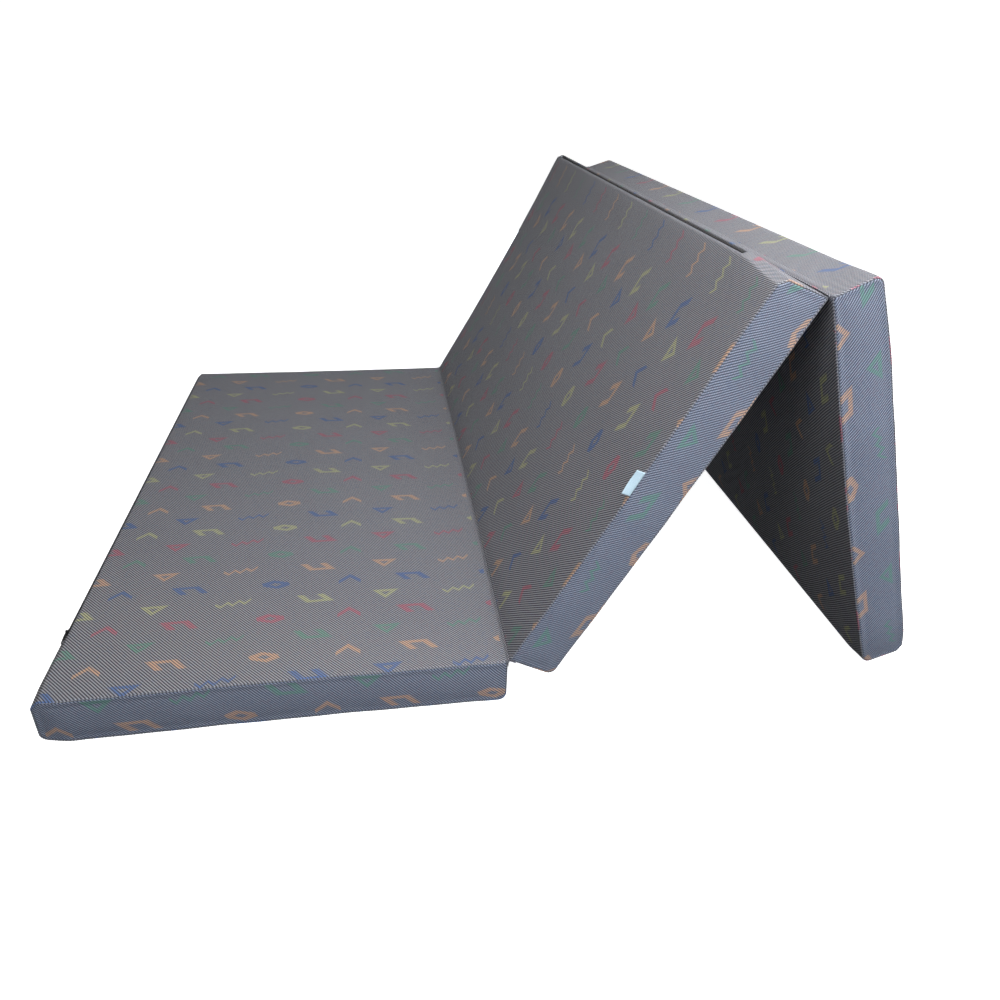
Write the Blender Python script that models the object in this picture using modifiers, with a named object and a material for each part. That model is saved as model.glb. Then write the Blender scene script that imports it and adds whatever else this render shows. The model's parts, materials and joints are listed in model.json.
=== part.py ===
"""Folding guest mattress: three foam sections in zipped covers, set up like a tent.

The first section lies on the floor, the second leans up from the first one's far edge, and the third
hangs from the second one's top edge and stands on its own lower edge. Each section is a foam block
in a cover of a wrap and two side strips, closed by a coil zip along one edge. Two sewn rolls of
cover cloth join the sections and are the folds.

The frame is in metres with +Z up. The origin is the middle of the first section's underside, +X runs
along the opened bed from the first section to the third, and the near side strips face -Y.
"""

import math

import bmesh
import bpy
from mathutils import Matrix, Vector

# Sections
SECTION_LENGTH = 0.650
BED_WIDTH = 1.200
PAD_HEIGHT = 0.075
CROWN = 0.0035
UNDER_CROWN = 0.0020
SIDE_DRAW = 0.0030
CROWN_MARGIN = 0.012
MIDDLE_SAG = 0.0050
END_SAG = 0.0025
SAG_MARGIN = 0.030
CORNER_RADIUS = 0.013
FOLD_EDGE_RADIUS = 0.004
SIDE_EDGE_RADIUS = 0.005
SMALLEST_RADIUS = 0.0026

# Stance
MIDDLE_LEAN = math.radians(61.5)
FOOT_FLAT_DEPTH = 0.0005

# Cloth, seams and foam
FABRIC = 0.0012
SEAM_ALLOWANCE = 0.006
GAP = 0.0003
FOAM_EDGE_RADIUS = 0.015
FOAM_CORNER_RADIUS = 0.012

# Folds
FOLD_GAP = 0.0015
FOLD_RISE = 0.0010
FOLD_ROLL_RADIUS = 0.0024
FOLD_WEB = 0.0007
FOLD_WEB_DEPTH = 0.014
TACK_REACH = 0.0042
TACK_THREAD = 0.0009

# Zips
ZIP_CHAMFER = 0.011
ZIP_LIP_RADIUS = 0.006
ZIP_SLIT = 0.0078
FLOOR_ZIP_MARGIN = 0.146
MIDDLE_ZIP_MARGIN = 0.117
END_ZIP_MARGIN = 0.128
ZIP_FAR_MARGIN = 0.030
TAPE = 0.0006
TAPE_REACH = 0.008
TAPE_RUN_ON = 0.012
NECK = 0.0005
COIL_WIDTH = 0.0017
COIL_HEIGHT = 0.0018
RUN_CLEARANCE = 0.0003
PLATE = 0.0010
PLATE_CLEARANCE = 0.0004
FLANGE = 0.0007
SLIDER_LENGTH = 0.0110
SLIDER_NOSE_WIDTH = 0.0084
SLIDER_END_CLEARANCE = 0.002
SLIDER_STEP = 0.00015

# Slider loop and pull
LOOP_LENGTH = 0.0040
LOOP_WIDTH = 0.0016
LOOP_BAR = 0.0009
LOOP_HOLE_HEIGHT = 0.0020
PULL_LENGTH = 0.026
PULL_WIDTH = 0.0064
PULL_NECK_WIDTH = 0.0044
PULL_THICKNESS = 0.0010
PULL_SLOT_LENGTH = 0.009
PULL_SLOT_WIDTH = 0.0026
PULL_TIP_GAP = 0.0004

# Label
LABEL_LENGTH = 0.038
LABEL_HEEL = 0.0035
LABEL_RISE = 0.0125
LABEL_LEAN = math.radians(10)
LABEL_CLOTH = 0.0005
LABEL_FOLD_GAP = 0.0004
LABEL_PLACE_SHARE = 0.01

# Facets
CORNER_STEPS = 3
FOLD_EDGE_STEPS = 2
LIP_STEPS = 2
LENGTH_SHARES = (-0.92, -0.6, -0.2, 0.2, 0.6, 0.92)
WIDTH_SHARES = (-0.5, -0.2, 0.1, 0.4, 0.7)
SIDE_ROUND_SHARES = (0.0, 0.5)
FOAM_ROUND_SHARES = (0.0, 0.33, 0.67, 1.0)
FOAM_WIDTH_SHARES = (-0.4, 0.0, 0.4)
ROLL_SIDES = 12

HALF_LENGTH = SECTION_LENGTH / 2
HALF_WIDTH = BED_WIDTH / 2
ZIP_FAR_Y = HALF_WIDTH - ZIP_FAR_MARGIN
FOLD_OUTSET = FOLD_GAP / 2
QUARTER = math.pi / 2
EIGHTH = math.pi / 4

# Levels above the zip's band, the flat strip of cover round the slit
TAPE_TOP = -FABRIC - GAP
TAPE_UNDER = TAPE_TOP - TAPE
COIL_FOOT = TAPE_TOP + GAP
COIL_TOP = COIL_FOOT + COIL_HEIGHT
FRONT_PLATE_FOOT = COIL_TOP + PLATE_CLEARANCE
FRONT_PLATE_TOP = FRONT_PLATE_FOOT + PLATE
BACK_PLATE_TOP = TAPE_UNDER - PLATE_CLEARANCE
BACK_PLATE_FOOT = BACK_PLATE_TOP - PLATE
PULL_PIVOT = FRONT_PLATE_TOP + LOOP_HOLE_HEIGHT / 2
FOAM_INSET = FABRIC + GAP + TAPE + GAP
COIL_INNER = NECK / 2 + RUN_CLEARANCE
COIL_OUTER = COIL_INNER + COIL_WIDTH
FLANGE_INNER = COIL_OUTER + RUN_CLEARANCE
FLANGE_OUTER = FLANGE_INNER + FLANGE

TICKING_TOP = (0.105, 0.105, 0.118)
TICKING_SIDE = (0.125, 0.138, 0.178)
FOAM_COLOUR = (0.86, 0.80, 0.58)
ZIP_BLACK = (0.012, 0.012, 0.014)
SLIDER_METAL = (0.10, 0.10, 0.105)
PULL_METAL = (0.12, 0.12, 0.125)
THREAD_DARK = (0.035, 0.037, 0.05)
LABEL_WHITE = (0.72, 0.80, 0.83)


class Section:
    """One section: its edge radii, its zip's side and start, its sag and where its slider is parked."""

    def __init__(self, number, radii, mirrored, under_crown, sag, zip_margin, slider_at_near_end):
        self.number = number
        self.radii = radii
        self.mirrored = mirrored
        self.under_crown = under_crown
        self.sag = sag
        self.zip_near_y = -HALF_WIDTH + zip_margin
        self.slider_at_near_end = slider_at_near_end
        self.foot_level = None
        self.holder = None
        self.axis = Vector((0, 0, 0))


def clear_scene():
    """Remove the objects that the file holds."""
    for old in list(bpy.data.objects):
        bpy.data.objects.remove(old, do_unlink=True)


def make_material(name, colour, roughness, metallic=0.0):
    """A Principled material of one colour."""
    material = bpy.data.materials.new(name)
    material.use_nodes = True
    shader = material.node_tree.nodes["Principled BSDF"]
    shader.inputs["Base Color"].default_value = (*colour, 1.0)
    shader.inputs["Roughness"].default_value = roughness
    shader.inputs["Metallic"].default_value = metallic
    return material


def add_object(name, bm, material, smooth_angle=None):
    """A named object from a bmesh, in the mattress's collection."""
    mesh = bpy.data.meshes.new(name)
    bm.to_mesh(mesh)
    bm.free()
    mesh.materials.append(material)
    if smooth_angle is not None:
        mesh.shade_smooth()
        mesh.set_sharp_from_angle(angle=smooth_angle)
    made = bpy.data.objects.new(name, mesh)
    COLLECTION.objects.link(made)
    return made


def give_wall(made, thickness):
    """Turn an open surface into a wall that lies behind its visible face."""
    wall = made.modifiers.new("wall", "SOLIDIFY")
    wall.thickness = thickness
    wall.offset = -1.0
    wall.use_even_offset = True
    wall.use_quality_normals = True
    return made


def cut_into_triangles(made):
    """Split a small stamping's faces in its own frame, where they are exactly flat."""
    made.modifiers.new("triangles", "TRIANGULATE")
    return made


def arc(centre, radius, start, sweep, steps):
    """Points of an arc in the section's length and height plane."""
    return [(centre[0] + radius * math.cos(start + sweep * step / steps),
             centre[1] + radius * math.sin(start + sweep * step / steps)) for step in range(steps + 1)]


def zip_corner(inset):
    """The corner that carries the zip: a 45 degree band between two soft lips, with the slit's edges."""
    end = HALF_LENGTH - inset
    top = PAD_HEIGHT - inset
    leg = ZIP_CHAMFER - (2 - math.sqrt(2)) * inset
    radius = max(ZIP_LIP_RADIUS - inset, SMALLEST_RADIUS)
    tangent = radius * math.tan(EIGHTH / 2)
    lower_lip = arc((end - radius, top - leg - tangent), radius, 0, EIGHTH, LIP_STEPS)
    upper_lip = arc((end - leg - tangent, top - radius), radius, EIGHTH, EIGHTH, LIP_STEPS)
    across = ZIP_SLIT / 2 * math.sqrt(0.5)
    middle = (end - leg / 2, top - leg / 2)
    slit = [(middle[0] + across, middle[1] - across), (middle[0] - across, middle[1] + across)]
    return lower_lip, slit, upper_lip


def outline(radii, inset):
    """Length and height profile of a section, set in from the cover's outside.

    With it come the places of its first point along the underside, of its slit and of its last point
    along the sleeping side.
    """
    end = HALF_LENGTH - inset
    top = PAD_HEIGHT - inset
    radius = {edge: max(value - inset, SMALLEST_RADIUS) for edge, value in radii.items()}
    steps = {edge: FOLD_EDGE_STEPS if value == FOLD_EDGE_RADIUS else CORNER_STEPS
             for edge, value in radii.items()}
    low_start = radius["low_start"]
    low_end = radius["low_end"]
    high_start = radius["high_start"]
    points = arc((low_start - end, inset + low_start), low_start, math.pi, QUARTER, steps["low_start"])
    first_low = len(points)
    points += [(share * HALF_LENGTH, inset) for share in LENGTH_SHARES]
    points += arc((end - low_end, inset + low_end), low_end, -QUARTER, QUARTER, steps["low_end"])
    slit_place = None
    if "high_end" in radius:
        high_end = radius["high_end"]
        points += arc((end - high_end, top - high_end), high_end, 0, QUARTER, steps["high_end"])
    else:
        lower_lip, slit, upper_lip = zip_corner(inset)
        points += lower_lip + slit
        slit_place = len(points) - 2
        points += upper_lip
    points += [(share * HALF_LENGTH, top) for share in reversed(LENGTH_SHARES)]
    last_high = len(points) - 1
    points += arc((high_start - end, top - high_start), high_start, QUARTER, QUARTER, steps["high_start"])
    return points, (first_low, slit_place, last_high)


def pad_point(section, x, y, z):
    """Move a point of the plain block to its place in the crowned, sagging section with drawn-in sides."""
    along = 1 - min((x / (HALF_LENGTH - CROWN_MARGIN)) ** 2, 1)
    across = 1 - min((y / (HALF_WIDTH - CROWN_MARGIN)) ** 2, 1)
    height_share = z / PAD_HEIGHT
    swell = CROWN * height_share - section.under_crown * (1 - height_share)
    droop = section.sag * (1 - min((x / (HALF_LENGTH - SAG_MARGIN)) ** 2, 1))
    return Vector((x, y * (1 - SIDE_DRAW * along / HALF_WIDTH), z + swell * along * across - droop))


def stand_on_floor(section, point, floor_gap):
    """Flatten the foot: a point that is lower than the floor, with a gap or without, is raised to it."""
    if section.foot_level is None:
        return point
    up, level = section.foot_level
    depth = level + floor_gap - point.dot(up)
    return point + up * max(depth, 0)


def skin(section, rings, floor_gap=0, skipped=None):
    """Faces between neighbouring closed profiles of one section, as a loft."""
    bm = bmesh.new()
    rows = []
    for profile, y in rings:
        row = [stand_on_floor(section, pad_point(section, x, y, z), floor_gap) for x, z in profile]
        rows.append([bm.verts.new(point) for point in row])
    count = len(rows[0])
    for number in range(len(rows) - 1):
        here = rows[number]
        beyond = rows[number + 1]
        for place in range(count):
            following = (place + 1) % count
            if skipped and skipped(number, place):
                continue
            bm.faces.new((here[place], beyond[place], beyond[following], here[following]))
    return bm, rows


def close_end(bm, row, places, reverse):
    """Fill a profile's end and split the fill across its height, so that it can follow a curve."""
    first_low, slit_place, last_high = places
    bm.faces.new(list(reversed(row)) if reverse else row)
    for step in range(len(LENGTH_SHARES)):
        bmesh.ops.connect_verts(bm, verts=[row[first_low + step], row[last_high - step]])


def finish_section_piece(section, bm):
    """Mirror a piece of a section whose zip is on the other end."""
    if section.mirrored:
        bmesh.ops.scale(bm, vec=(-1, 1, 1), verts=bm.verts)
        bmesh.ops.reverse_faces(bm, faces=bm.faces)
    return bm


def place_on_section(section, made):
    """Hang an object on its section, in the section's own frame."""
    if section.holder is not None:
        made.parent = section.holder
        made.location = made.location - section.axis
    return made


def side_round(angle):
    """Inset and width at an angle round the side edge, measured from the wrap."""
    return (SIDE_EDGE_RADIUS * (1 - math.cos(angle)),
            HALF_WIDTH - SIDE_EDGE_RADIUS + SIDE_EDGE_RADIUS * math.sin(angle))


def cover_wrap(section):
    """The wrap round sleeping side, ends and underside, turned in at the side seams and slit for the zip."""
    seam_angle = EIGHTH - GAP / SIDE_EDGE_RADIUS / 2
    seam_inset, seam_y = side_round(seam_angle)
    turn_in = SEAM_ALLOWANCE * math.sqrt(0.5)
    half = [(seam_inset + turn_in, seam_y - turn_in), (seam_inset, seam_y)]
    half += [side_round(seam_angle * share) for share in reversed(SIDE_ROUND_SHARES)]
    stations = [section.zip_near_y] + [share * HALF_WIDTH for share in WIDTH_SHARES] + [ZIP_FAR_Y]
    levels = [(inset, -y) for inset, y in half] + [(0, y) for y in stations] + half[::-1]
    rings = [(outline(section.radii, inset)[0], y) for inset, y in levels]
    slit_place = outline(section.radii, 0)[1][1]
    first = len(half)
    last = first + len(stations) - 1

    def in_slit(number, place):
        return place == slit_place and first <= number < last

    bm, rows = skin(section, rings, skipped=in_slit)
    finish_section_piece(section, bm)
    made = add_object(f"cover_wrap_{section.number}", bm, MATERIALS["ticking"], QUARTER / 2)
    return place_on_section(section, give_wall(made, FABRIC))


def side_strip(section, side):
    """A side strip: the flat long side of the cover, turned in at its seam with the wrap."""
    seam_angle = EIGHTH + GAP / SIDE_EDGE_RADIUS / 2
    seam_inset, seam_y = side_round(seam_angle)
    turn_in = SEAM_ALLOWANCE * math.sqrt(0.5)
    levels = [(seam_inset + turn_in, seam_y - turn_in), (seam_inset, seam_y)]
    levels += [side_round(seam_angle + (QUARTER - seam_angle) * share) for share in (0.5, 1.0)]
    if side < 0:
        levels.reverse()
    rings = [(outline(section.radii, inset)[0], side * y) for inset, y in levels]
    bm, rows = skin(section, rings)
    close_end(bm, rows[0] if side < 0 else rows[-1], outline(section.radii, 0)[1], reverse=side > 0)
    finish_section_piece(section, bm)
    name = "near" if side < 0 else "far"
    made = add_object(f"{name}_side_strip_{section.number}", bm, MATERIALS["side"], QUARTER / 2)
    return place_on_section(section, give_wall(made, FABRIC))


def foam_block(section):
    """The foam inside: a block with softened edges, rounded off further where the zip's slider runs."""
    band_depth = ZIP_CHAMFER * math.sqrt(0.5) - BACK_PLATE_FOOT + PLATE_CLEARANCE
    zip_radius = FOAM_INSET + (band_depth - math.sqrt(2) * FOAM_INSET) / (math.sqrt(2) - 1)
    radii = {edge: FOAM_CORNER_RADIUS for edge in section.radii}
    radii["high_end"] = zip_radius
    half = []
    for share in FOAM_ROUND_SHARES:
        angle = QUARTER * (1 - share)
        half.append((FOAM_INSET + FOAM_EDGE_RADIUS * (1 - math.cos(angle)),
                     HALF_WIDTH - FOAM_INSET - FOAM_EDGE_RADIUS * (1 - math.sin(angle))))
    inner = [(FOAM_INSET, share * HALF_WIDTH) for share in FOAM_WIDTH_SHARES]
    levels = [(inset, -y) for inset, y in half] + inner + half[::-1]
    rings = [(outline(radii, inset)[0], y) for inset, y in levels]
    places = outline(radii, FOAM_INSET)[1]
    bm, rows = skin(section, rings, FOAM_INSET)
    close_end(bm, rows[0], places, reverse=False)
    close_end(bm, rows[-1], places, reverse=True)
    finish_section_piece(section, bm)
    made = add_object(f"foam_block_{section.number}", bm, MATERIALS["foam"], QUARTER / 2)
    return place_on_section(section, made)


def zip_matrix(section, y):
    """The zip's frame on its section: X along the chain, Y across it, Z out of the cover."""
    side = -1 if section.mirrored else 1
    away = side * math.sqrt(0.5)
    out = Vector((away, 0, math.sqrt(0.5)))
    along = Vector((0, 1 if section.slider_at_near_end else -1, 0))
    over = out.cross(along)
    middle = Vector((side * (HALF_LENGTH - ZIP_CHAMFER / 2), y, PAD_HEIGHT - ZIP_CHAMFER / 2))
    frame = Matrix((along, over, out)).transposed().to_4x4()
    return Matrix.Translation(middle) @ frame


def extruded(points, start, end, axis):
    """A closed prism of a flat outline, drawn out along one axis from start to end."""
    bm = bmesh.new()
    corners = []
    for first, second in points:
        place = [first, second]
        place.insert(axis, start)
        corners.append(bm.verts.new(place))
    bm.faces.new(corners)
    drawn = bmesh.ops.extrude_face_region(bm, geom=bm.faces[:])
    shift = [0, 0, 0]
    shift[axis] = end - start
    moved = [part for part in drawn["geom"] if isinstance(part, bmesh.types.BMVert)]
    bmesh.ops.translate(bm, vec=shift, verts=moved)
    bmesh.ops.recalc_face_normals(bm, faces=bm.faces)
    return bm


def zip_tapes(section):
    """The two tapes: strips that lie behind the lips of the slit and carry the coils."""
    lower_lip, slit, upper_lip = zip_corner(FABRIC + GAP)
    middle = ((slit[0][0] + slit[1][0]) / 2, (slit[0][1] + slit[1][1]) / 2)
    step = COIL_INNER * math.sqrt(0.5)
    upper = [(middle[0] - step, middle[1] + step)] + upper_lip
    upper.append((upper_lip[-1][0] - TAPE_REACH, upper_lip[-1][1]))
    lower = [(lower_lip[0][0], lower_lip[0][1] - TAPE_REACH)] + lower_lip
    lower.append((middle[0] + step, middle[1] - step))
    ends = (section.zip_near_y - TAPE_RUN_ON, ZIP_FAR_Y + TAPE_RUN_ON)
    for name, strip in (("upper", upper), ("lower", lower)):
        bm = bmesh.new()
        rows = [[bm.verts.new((x, y, z)) for x, z in strip] for y in ends]
        for place in range(len(strip) - 1):
            bm.faces.new((rows[0][place], rows[1][place], rows[1][place + 1], rows[0][place + 1]))
        finish_section_piece(section, bm)
        made = add_object(f"zip_tape_{name}_{section.number}", bm, MATERIALS["zip"], QUARTER / 2)
        place_on_section(section, give_wall(made, TAPE))


def zip_coils(section):
    """The two halves of the coil chain, one on each tape's inner edge."""
    shoulder = COIL_WIDTH / 4
    outline_points = [(COIL_INNER, COIL_FOOT), (COIL_OUTER, COIL_FOOT), (COIL_OUTER, COIL_TOP - shoulder),
                      (COIL_OUTER - shoulder, COIL_TOP), (COIL_INNER + shoulder, COIL_TOP),
                      (COIL_INNER, COIL_TOP - shoulder)]
    half = (ZIP_FAR_Y - section.zip_near_y) / 2 - GAP
    frame = zip_matrix(section, (ZIP_FAR_Y + section.zip_near_y) / 2)
    upper_sign = 1 if frame.col[1][2] > 0 else -1
    for name, side in (("upper", upper_sign), ("lower", -upper_sign)):
        bm = extruded([(side * across, out) for across, out in outline_points], -half, half, 0)
        bmesh.ops.transform(bm, matrix=frame, verts=bm.verts)
        made = add_object(f"zip_coil_{name}_{section.number}", bm, MATERIALS["zip"], QUARTER / 2)
        place_on_section(section, made)


def joined(name, pieces, material):
    """One solid from overlapping ones, by exact unions."""
    base = pieces[0]
    for number, other in enumerate(pieces[1:]):
        union = base.modifiers.new(f"union_{number}", "BOOLEAN")
        union.operation = "UNION"
        union.solver = "EXACT"
        union.object = other
    bpy.context.view_layer.update()
    evaluated = base.evaluated_get(bpy.context.evaluated_depsgraph_get())
    mesh = bpy.data.meshes.new_from_object(evaluated)
    mesh.name = name
    for piece in pieces:
        bpy.data.objects.remove(piece, do_unlink=True)
    mesh.materials.clear()
    mesh.materials.append(material)
    made = bpy.data.objects.new(name, mesh)
    COLLECTION.objects.link(made)
    return made


def zip_slider(section):
    """The slider: two plates, a neck between the coils, flanges round the chain and a loop on top."""
    half = SLIDER_LENGTH / 2
    nose = SLIDER_NOSE_WIDTH / 2
    shoulder = SLIDER_LENGTH / 4
    metal = MATERIALS["slider"]
    one_side = [(-half, FLANGE_OUTER / 2), (FLANGE - half, FLANGE_OUTER), (0, FLANGE_OUTER), (shoulder, nose),
                (half - 2 * FLANGE, nose), (half, nose / 2)]
    plate_points = one_side + [(along, -across) for along, across in reversed(one_side)]
    tail = FLANGE - half
    back_points = [(-half, FLANGE_OUTER / 2), (tail, FLANGE_OUTER), (-tail, FLANGE_OUTER),
                   (half, FLANGE_OUTER / 2)]
    back_points += [(along, -across) for along, across in reversed(back_points)]
    solids = [extruded(plate_points, FRONT_PLATE_FOOT, FRONT_PLATE_TOP, 2),
              extruded(back_points, BACK_PLATE_FOOT, BACK_PLATE_TOP, 2)]
    back = tail + SLIDER_STEP
    front = shoulder - SLIDER_STEP
    outer = FLANGE_OUTER - SLIDER_STEP
    for side in (-1, 1):
        flange = [(back, side * FLANGE_INNER), (front, side * FLANGE_INNER),
                  (front, side * outer), (back, side * outer)]
        solids.append(extruded(flange, COIL_FOOT + GAP, FRONT_PLATE_TOP - PLATE / 2, 2))
    tip = half - FLANGE
    neck = [(shoulder, -NECK / 2), (tip, -NECK / 2), (tip, NECK / 2), (shoulder, NECK / 2)]
    solids.append(extruded(neck, BACK_PLATE_TOP - PLATE / 2, FRONT_PLATE_FOOT + PLATE / 2, 2))
    reach = LOOP_LENGTH / 2
    base = FRONT_PLATE_TOP - PLATE / 4
    crown = FRONT_PLATE_TOP + LOOP_HOLE_HEIGHT
    peak = crown + LOOP_BAR
    loop = [(-reach, base), (LOOP_BAR - reach, base), (LOOP_BAR - reach, crown), (reach - LOOP_BAR, crown),
            (reach - LOOP_BAR, base), (reach, base), (reach, crown), (reach - LOOP_BAR, peak),
            (LOOP_BAR - reach, peak), (-reach, crown)]
    solids.append(extruded(loop, -LOOP_WIDTH / 2, LOOP_WIDTH / 2, 1))
    pieces = [add_object("slider_part", bm, metal) for bm in solids]
    made = cut_into_triangles(joined(f"zip_slider_{section.number}", pieces, metal))
    place_zip_piece(section, made, Matrix.Identity(4))
    return made


def slider_y(section):
    """Where the slider is parked, at the zip's closed end."""
    stand_off = SLIDER_LENGTH / 2 + SLIDER_END_CLEARANCE
    return section.zip_near_y + stand_off if section.slider_at_near_end else ZIP_FAR_Y - stand_off


def place_zip_piece(section, made, local):
    """Stand a slider or a pull on its section's zip."""
    frame = zip_matrix(section, slider_y(section)) @ local
    if section.holder is not None:
        made.parent = section.holder
        frame = Matrix.Translation(-section.axis) @ frame
    made.matrix_local = frame


def zip_pull(section, hanging):
    """The pull tab: a flat stamping with a window that its hinge bar closes, and a finger slot."""
    clear = LOOP_LENGTH / 2 + LOOP_BAR + RUN_CLEARANCE
    half = PULL_WIDTH / 2
    neck = PULL_NECK_WIDTH / 2
    bar = PULL_THICKNESS / 2
    arm = LOOP_WIDTH / 2 + RUN_CLEARANCE
    tip = PULL_WIDTH / 4
    steel = MATERIALS["pull"]
    body = [(bar, -neck), (bar, neck), (-clear, neck), (-clear - tip, half), (tip - PULL_LENGTH, half),
            (-PULL_LENGTH, half - tip), (-PULL_LENGTH, tip - half), (tip - PULL_LENGTH, -half),
            (-clear - tip, -half), (-clear, -neck)]
    tab = extruded(body, -bar, bar, 2)
    window = extruded([(-bar, -arm), (-bar, arm), (-clear, arm), (-clear, -arm)], -2 * bar, 2 * bar, 2)
    slot_end = tip - PULL_LENGTH
    slot = [(slot_end, -PULL_SLOT_WIDTH / 2), (slot_end, PULL_SLOT_WIDTH / 2),
            (slot_end + PULL_SLOT_LENGTH, PULL_SLOT_WIDTH / 2),
            (slot_end + PULL_SLOT_LENGTH, -PULL_SLOT_WIDTH / 2)]
    made = add_object(f"zip_pull_{section.number}", tab, steel)
    for name, cutter_mesh in (("window", window), ("slot", extruded(slot, -2 * bar, 2 * bar, 2))):
        cutter = add_object(f"{name}_cutter_{section.number}", cutter_mesh, steel)
        COLLECTION.objects.unlink(cutter)
        CUTTERS.objects.link(cutter)
        cutter.hide_render = True
        cutter.display_type = "WIRE"
        cutter.parent = made
        cut = made.modifiers.new(name, "BOOLEAN")
        cut.operation = "DIFFERENCE"
        cut.solver = "EXACT"
        cut.object = cutter
    cut_into_triangles(made)
    drop = PULL_PIVOT - bar - COIL_TOP - PULL_TIP_GAP
    tilt = QUARTER if hanging else -math.asin(drop / PULL_LENGTH)
    local = Matrix.Translation((0, 0, PULL_PIVOT)) @ Matrix.Rotation(tilt, 4, "Y")
    place_zip_piece(section, made, local)
    return made


def fold_seam(number, section, at_top, corner_sign):
    """The sewn roll that is a fold's axis, with a web down the section's end."""
    level = PAD_HEIGHT + FOLD_RISE if at_top else -FOLD_RISE
    down = -1 if at_top else 1
    axis_x = corner_sign * (HALF_LENGTH + FOLD_OUTSET)
    inner = corner_sign * (HALF_LENGTH + GAP)
    outer = inner + corner_sign * FOLD_WEB
    spread = math.asin(FOLD_WEB / 2 / FOLD_ROLL_RADIUS)
    start = math.atan2(down, 0) + spread
    sweep = 2 * math.pi - 2 * spread
    roll = arc((axis_x, level), FOLD_ROLL_RADIUS, start, sweep, ROLL_SIDES)
    foot = level + down * FOLD_WEB_DEPTH
    if roll[-1][0] * corner_sign > roll[0][0] * corner_sign:
        web = [(outer, roll[-1][1]), (outer, foot), (inner, foot), (inner, roll[0][1])]
    else:
        web = [(inner, roll[-1][1]), (inner, foot), (outer, foot), (outer, roll[0][1])]
    points = [point for point in roll[1:-1]] + web
    bm = extruded(points, -HALF_WIDTH, HALF_WIDTH, 1)
    made = add_object(f"fold_seam_{number}", bm, MATERIALS["ticking"], QUARTER / 2)
    place_on_section(section, made)
    for name, side in (("near", -1), ("far", 1)):
        bar_tack(name, number, section, (axis_x, side * (HALF_WIDTH + GAP), level), side)
    return Vector((axis_x, 0, level))


def bar_tack(name, number, section, place, side):
    """A cross of heavy thread over the end of a fold's roll."""
    half = TACK_THREAD / 2
    cross = []
    for turn in range(4):
        quarter = Matrix.Rotation(turn * QUARTER + EIGHTH, 2)
        arm = ((TACK_REACH, -half), (TACK_REACH, half), (half, half))
        cross += [quarter @ Vector(point) for point in arm]
    points = [(place[0] + point.x, place[2] + point.y) for point in cross]
    bm = extruded(points, place[1], place[1] + side * TACK_THREAD, 1)
    made = add_object(f"bar_tack_{name}_{number}", bm, MATERIALS["thread"])
    return place_on_section(section, made)


def beside(point, direction, distance):
    """The point at a distance from another one, in a direction given as an angle."""
    return (point[0] + distance * math.cos(direction), point[1] + distance * math.sin(direction))


def sewn_label(section):
    """The bare label: a folded ribbon, sewn into the near top seam, that stands beside the sleeping side."""
    middle = LABEL_PLACE_SHARE * HALF_LENGTH
    seam_inset, seam_y = side_round(EIGHTH)
    bend = LABEL_CLOTH + LABEL_FOLD_GAP / 2
    half_turn = (EIGHTH - LABEL_LEAN) / 2
    root = beside((-seam_y, PAD_HEIGHT - seam_inset), 3 * EIGHTH, GAP)
    heel = beside(root, 3 * EIGHTH, LABEL_HEEL)
    tip = beside(heel, QUARTER + LABEL_LEAN, LABEL_RISE)
    across = LABEL_LEAN + half_turn
    spread = bend / math.cos(half_turn)
    strip = [beside(root, EIGHTH, -bend), beside(heel, across, -spread)]
    strip += arc(tip, bend, math.pi + LABEL_LEAN, -math.pi, 2 * LIP_STEPS)
    strip += [beside(heel, across, spread), beside(root, EIGHTH, bend)]
    bm = bmesh.new()
    rows = []
    for x in (middle - LABEL_LENGTH / 2, middle, middle + LABEL_LENGTH / 2):
        seam = Vector((x, -HALF_WIDTH, PAD_HEIGHT))
        moved = pad_point(section, *seam) - seam
        rows.append([bm.verts.new(Vector((x, y, z)) + moved) for y, z in strip])
    for here, beyond in zip(rows, rows[1:]):
        for place in range(len(strip) - 1):
            bm.faces.new((here[place], beyond[place], beyond[place + 1], here[place + 1]))
    made = add_object("sewn_label", bm, MATERIALS["label"], QUARTER / 2)
    return place_on_section(section, give_wall(made, LABEL_CLOTH))


def fold_holder(name, parent, axis, parent_axis, angle):
    """An empty on a fold's axis, turned by the fold's angle, that carries the next section."""
    holder = bpy.data.objects.new(name, None)
    COLLECTION.objects.link(holder)
    holder.parent = parent
    holder.location = axis - parent_axis
    holder.rotation_euler = (0, -angle, 0)
    return holder


def third_lean():
    """How steeply the third section hangs: its foot corner just meets the floor."""
    reach = SECTION_LENGTH + 2 * FOLD_OUTSET
    thick = PAD_HEIGHT + 2 * FOLD_RISE
    ridge = PAD_HEIGHT + FOLD_RISE + reach * math.sin(MIDDLE_LEAN) - thick * math.cos(MIDDLE_LEAN)
    along = SECTION_LENGTH + FOLD_OUTSET - CORNER_RADIUS
    across = CORNER_RADIUS + FOLD_RISE
    rise = ridge - CORNER_RADIUS + FOOT_FLAT_DEPTH
    lean = math.asin(rise / math.hypot(along, across)) + math.atan2(across, along)
    return lean, ridge


def build_section(section, hanging_pull):
    """All the pieces of one section."""
    cover_wrap(section)
    side_strip(section, -1)
    side_strip(section, 1)
    foam_block(section)
    zip_tapes(section)
    zip_coils(section)
    zip_slider(section)
    zip_pull(section, hanging_pull)


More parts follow.
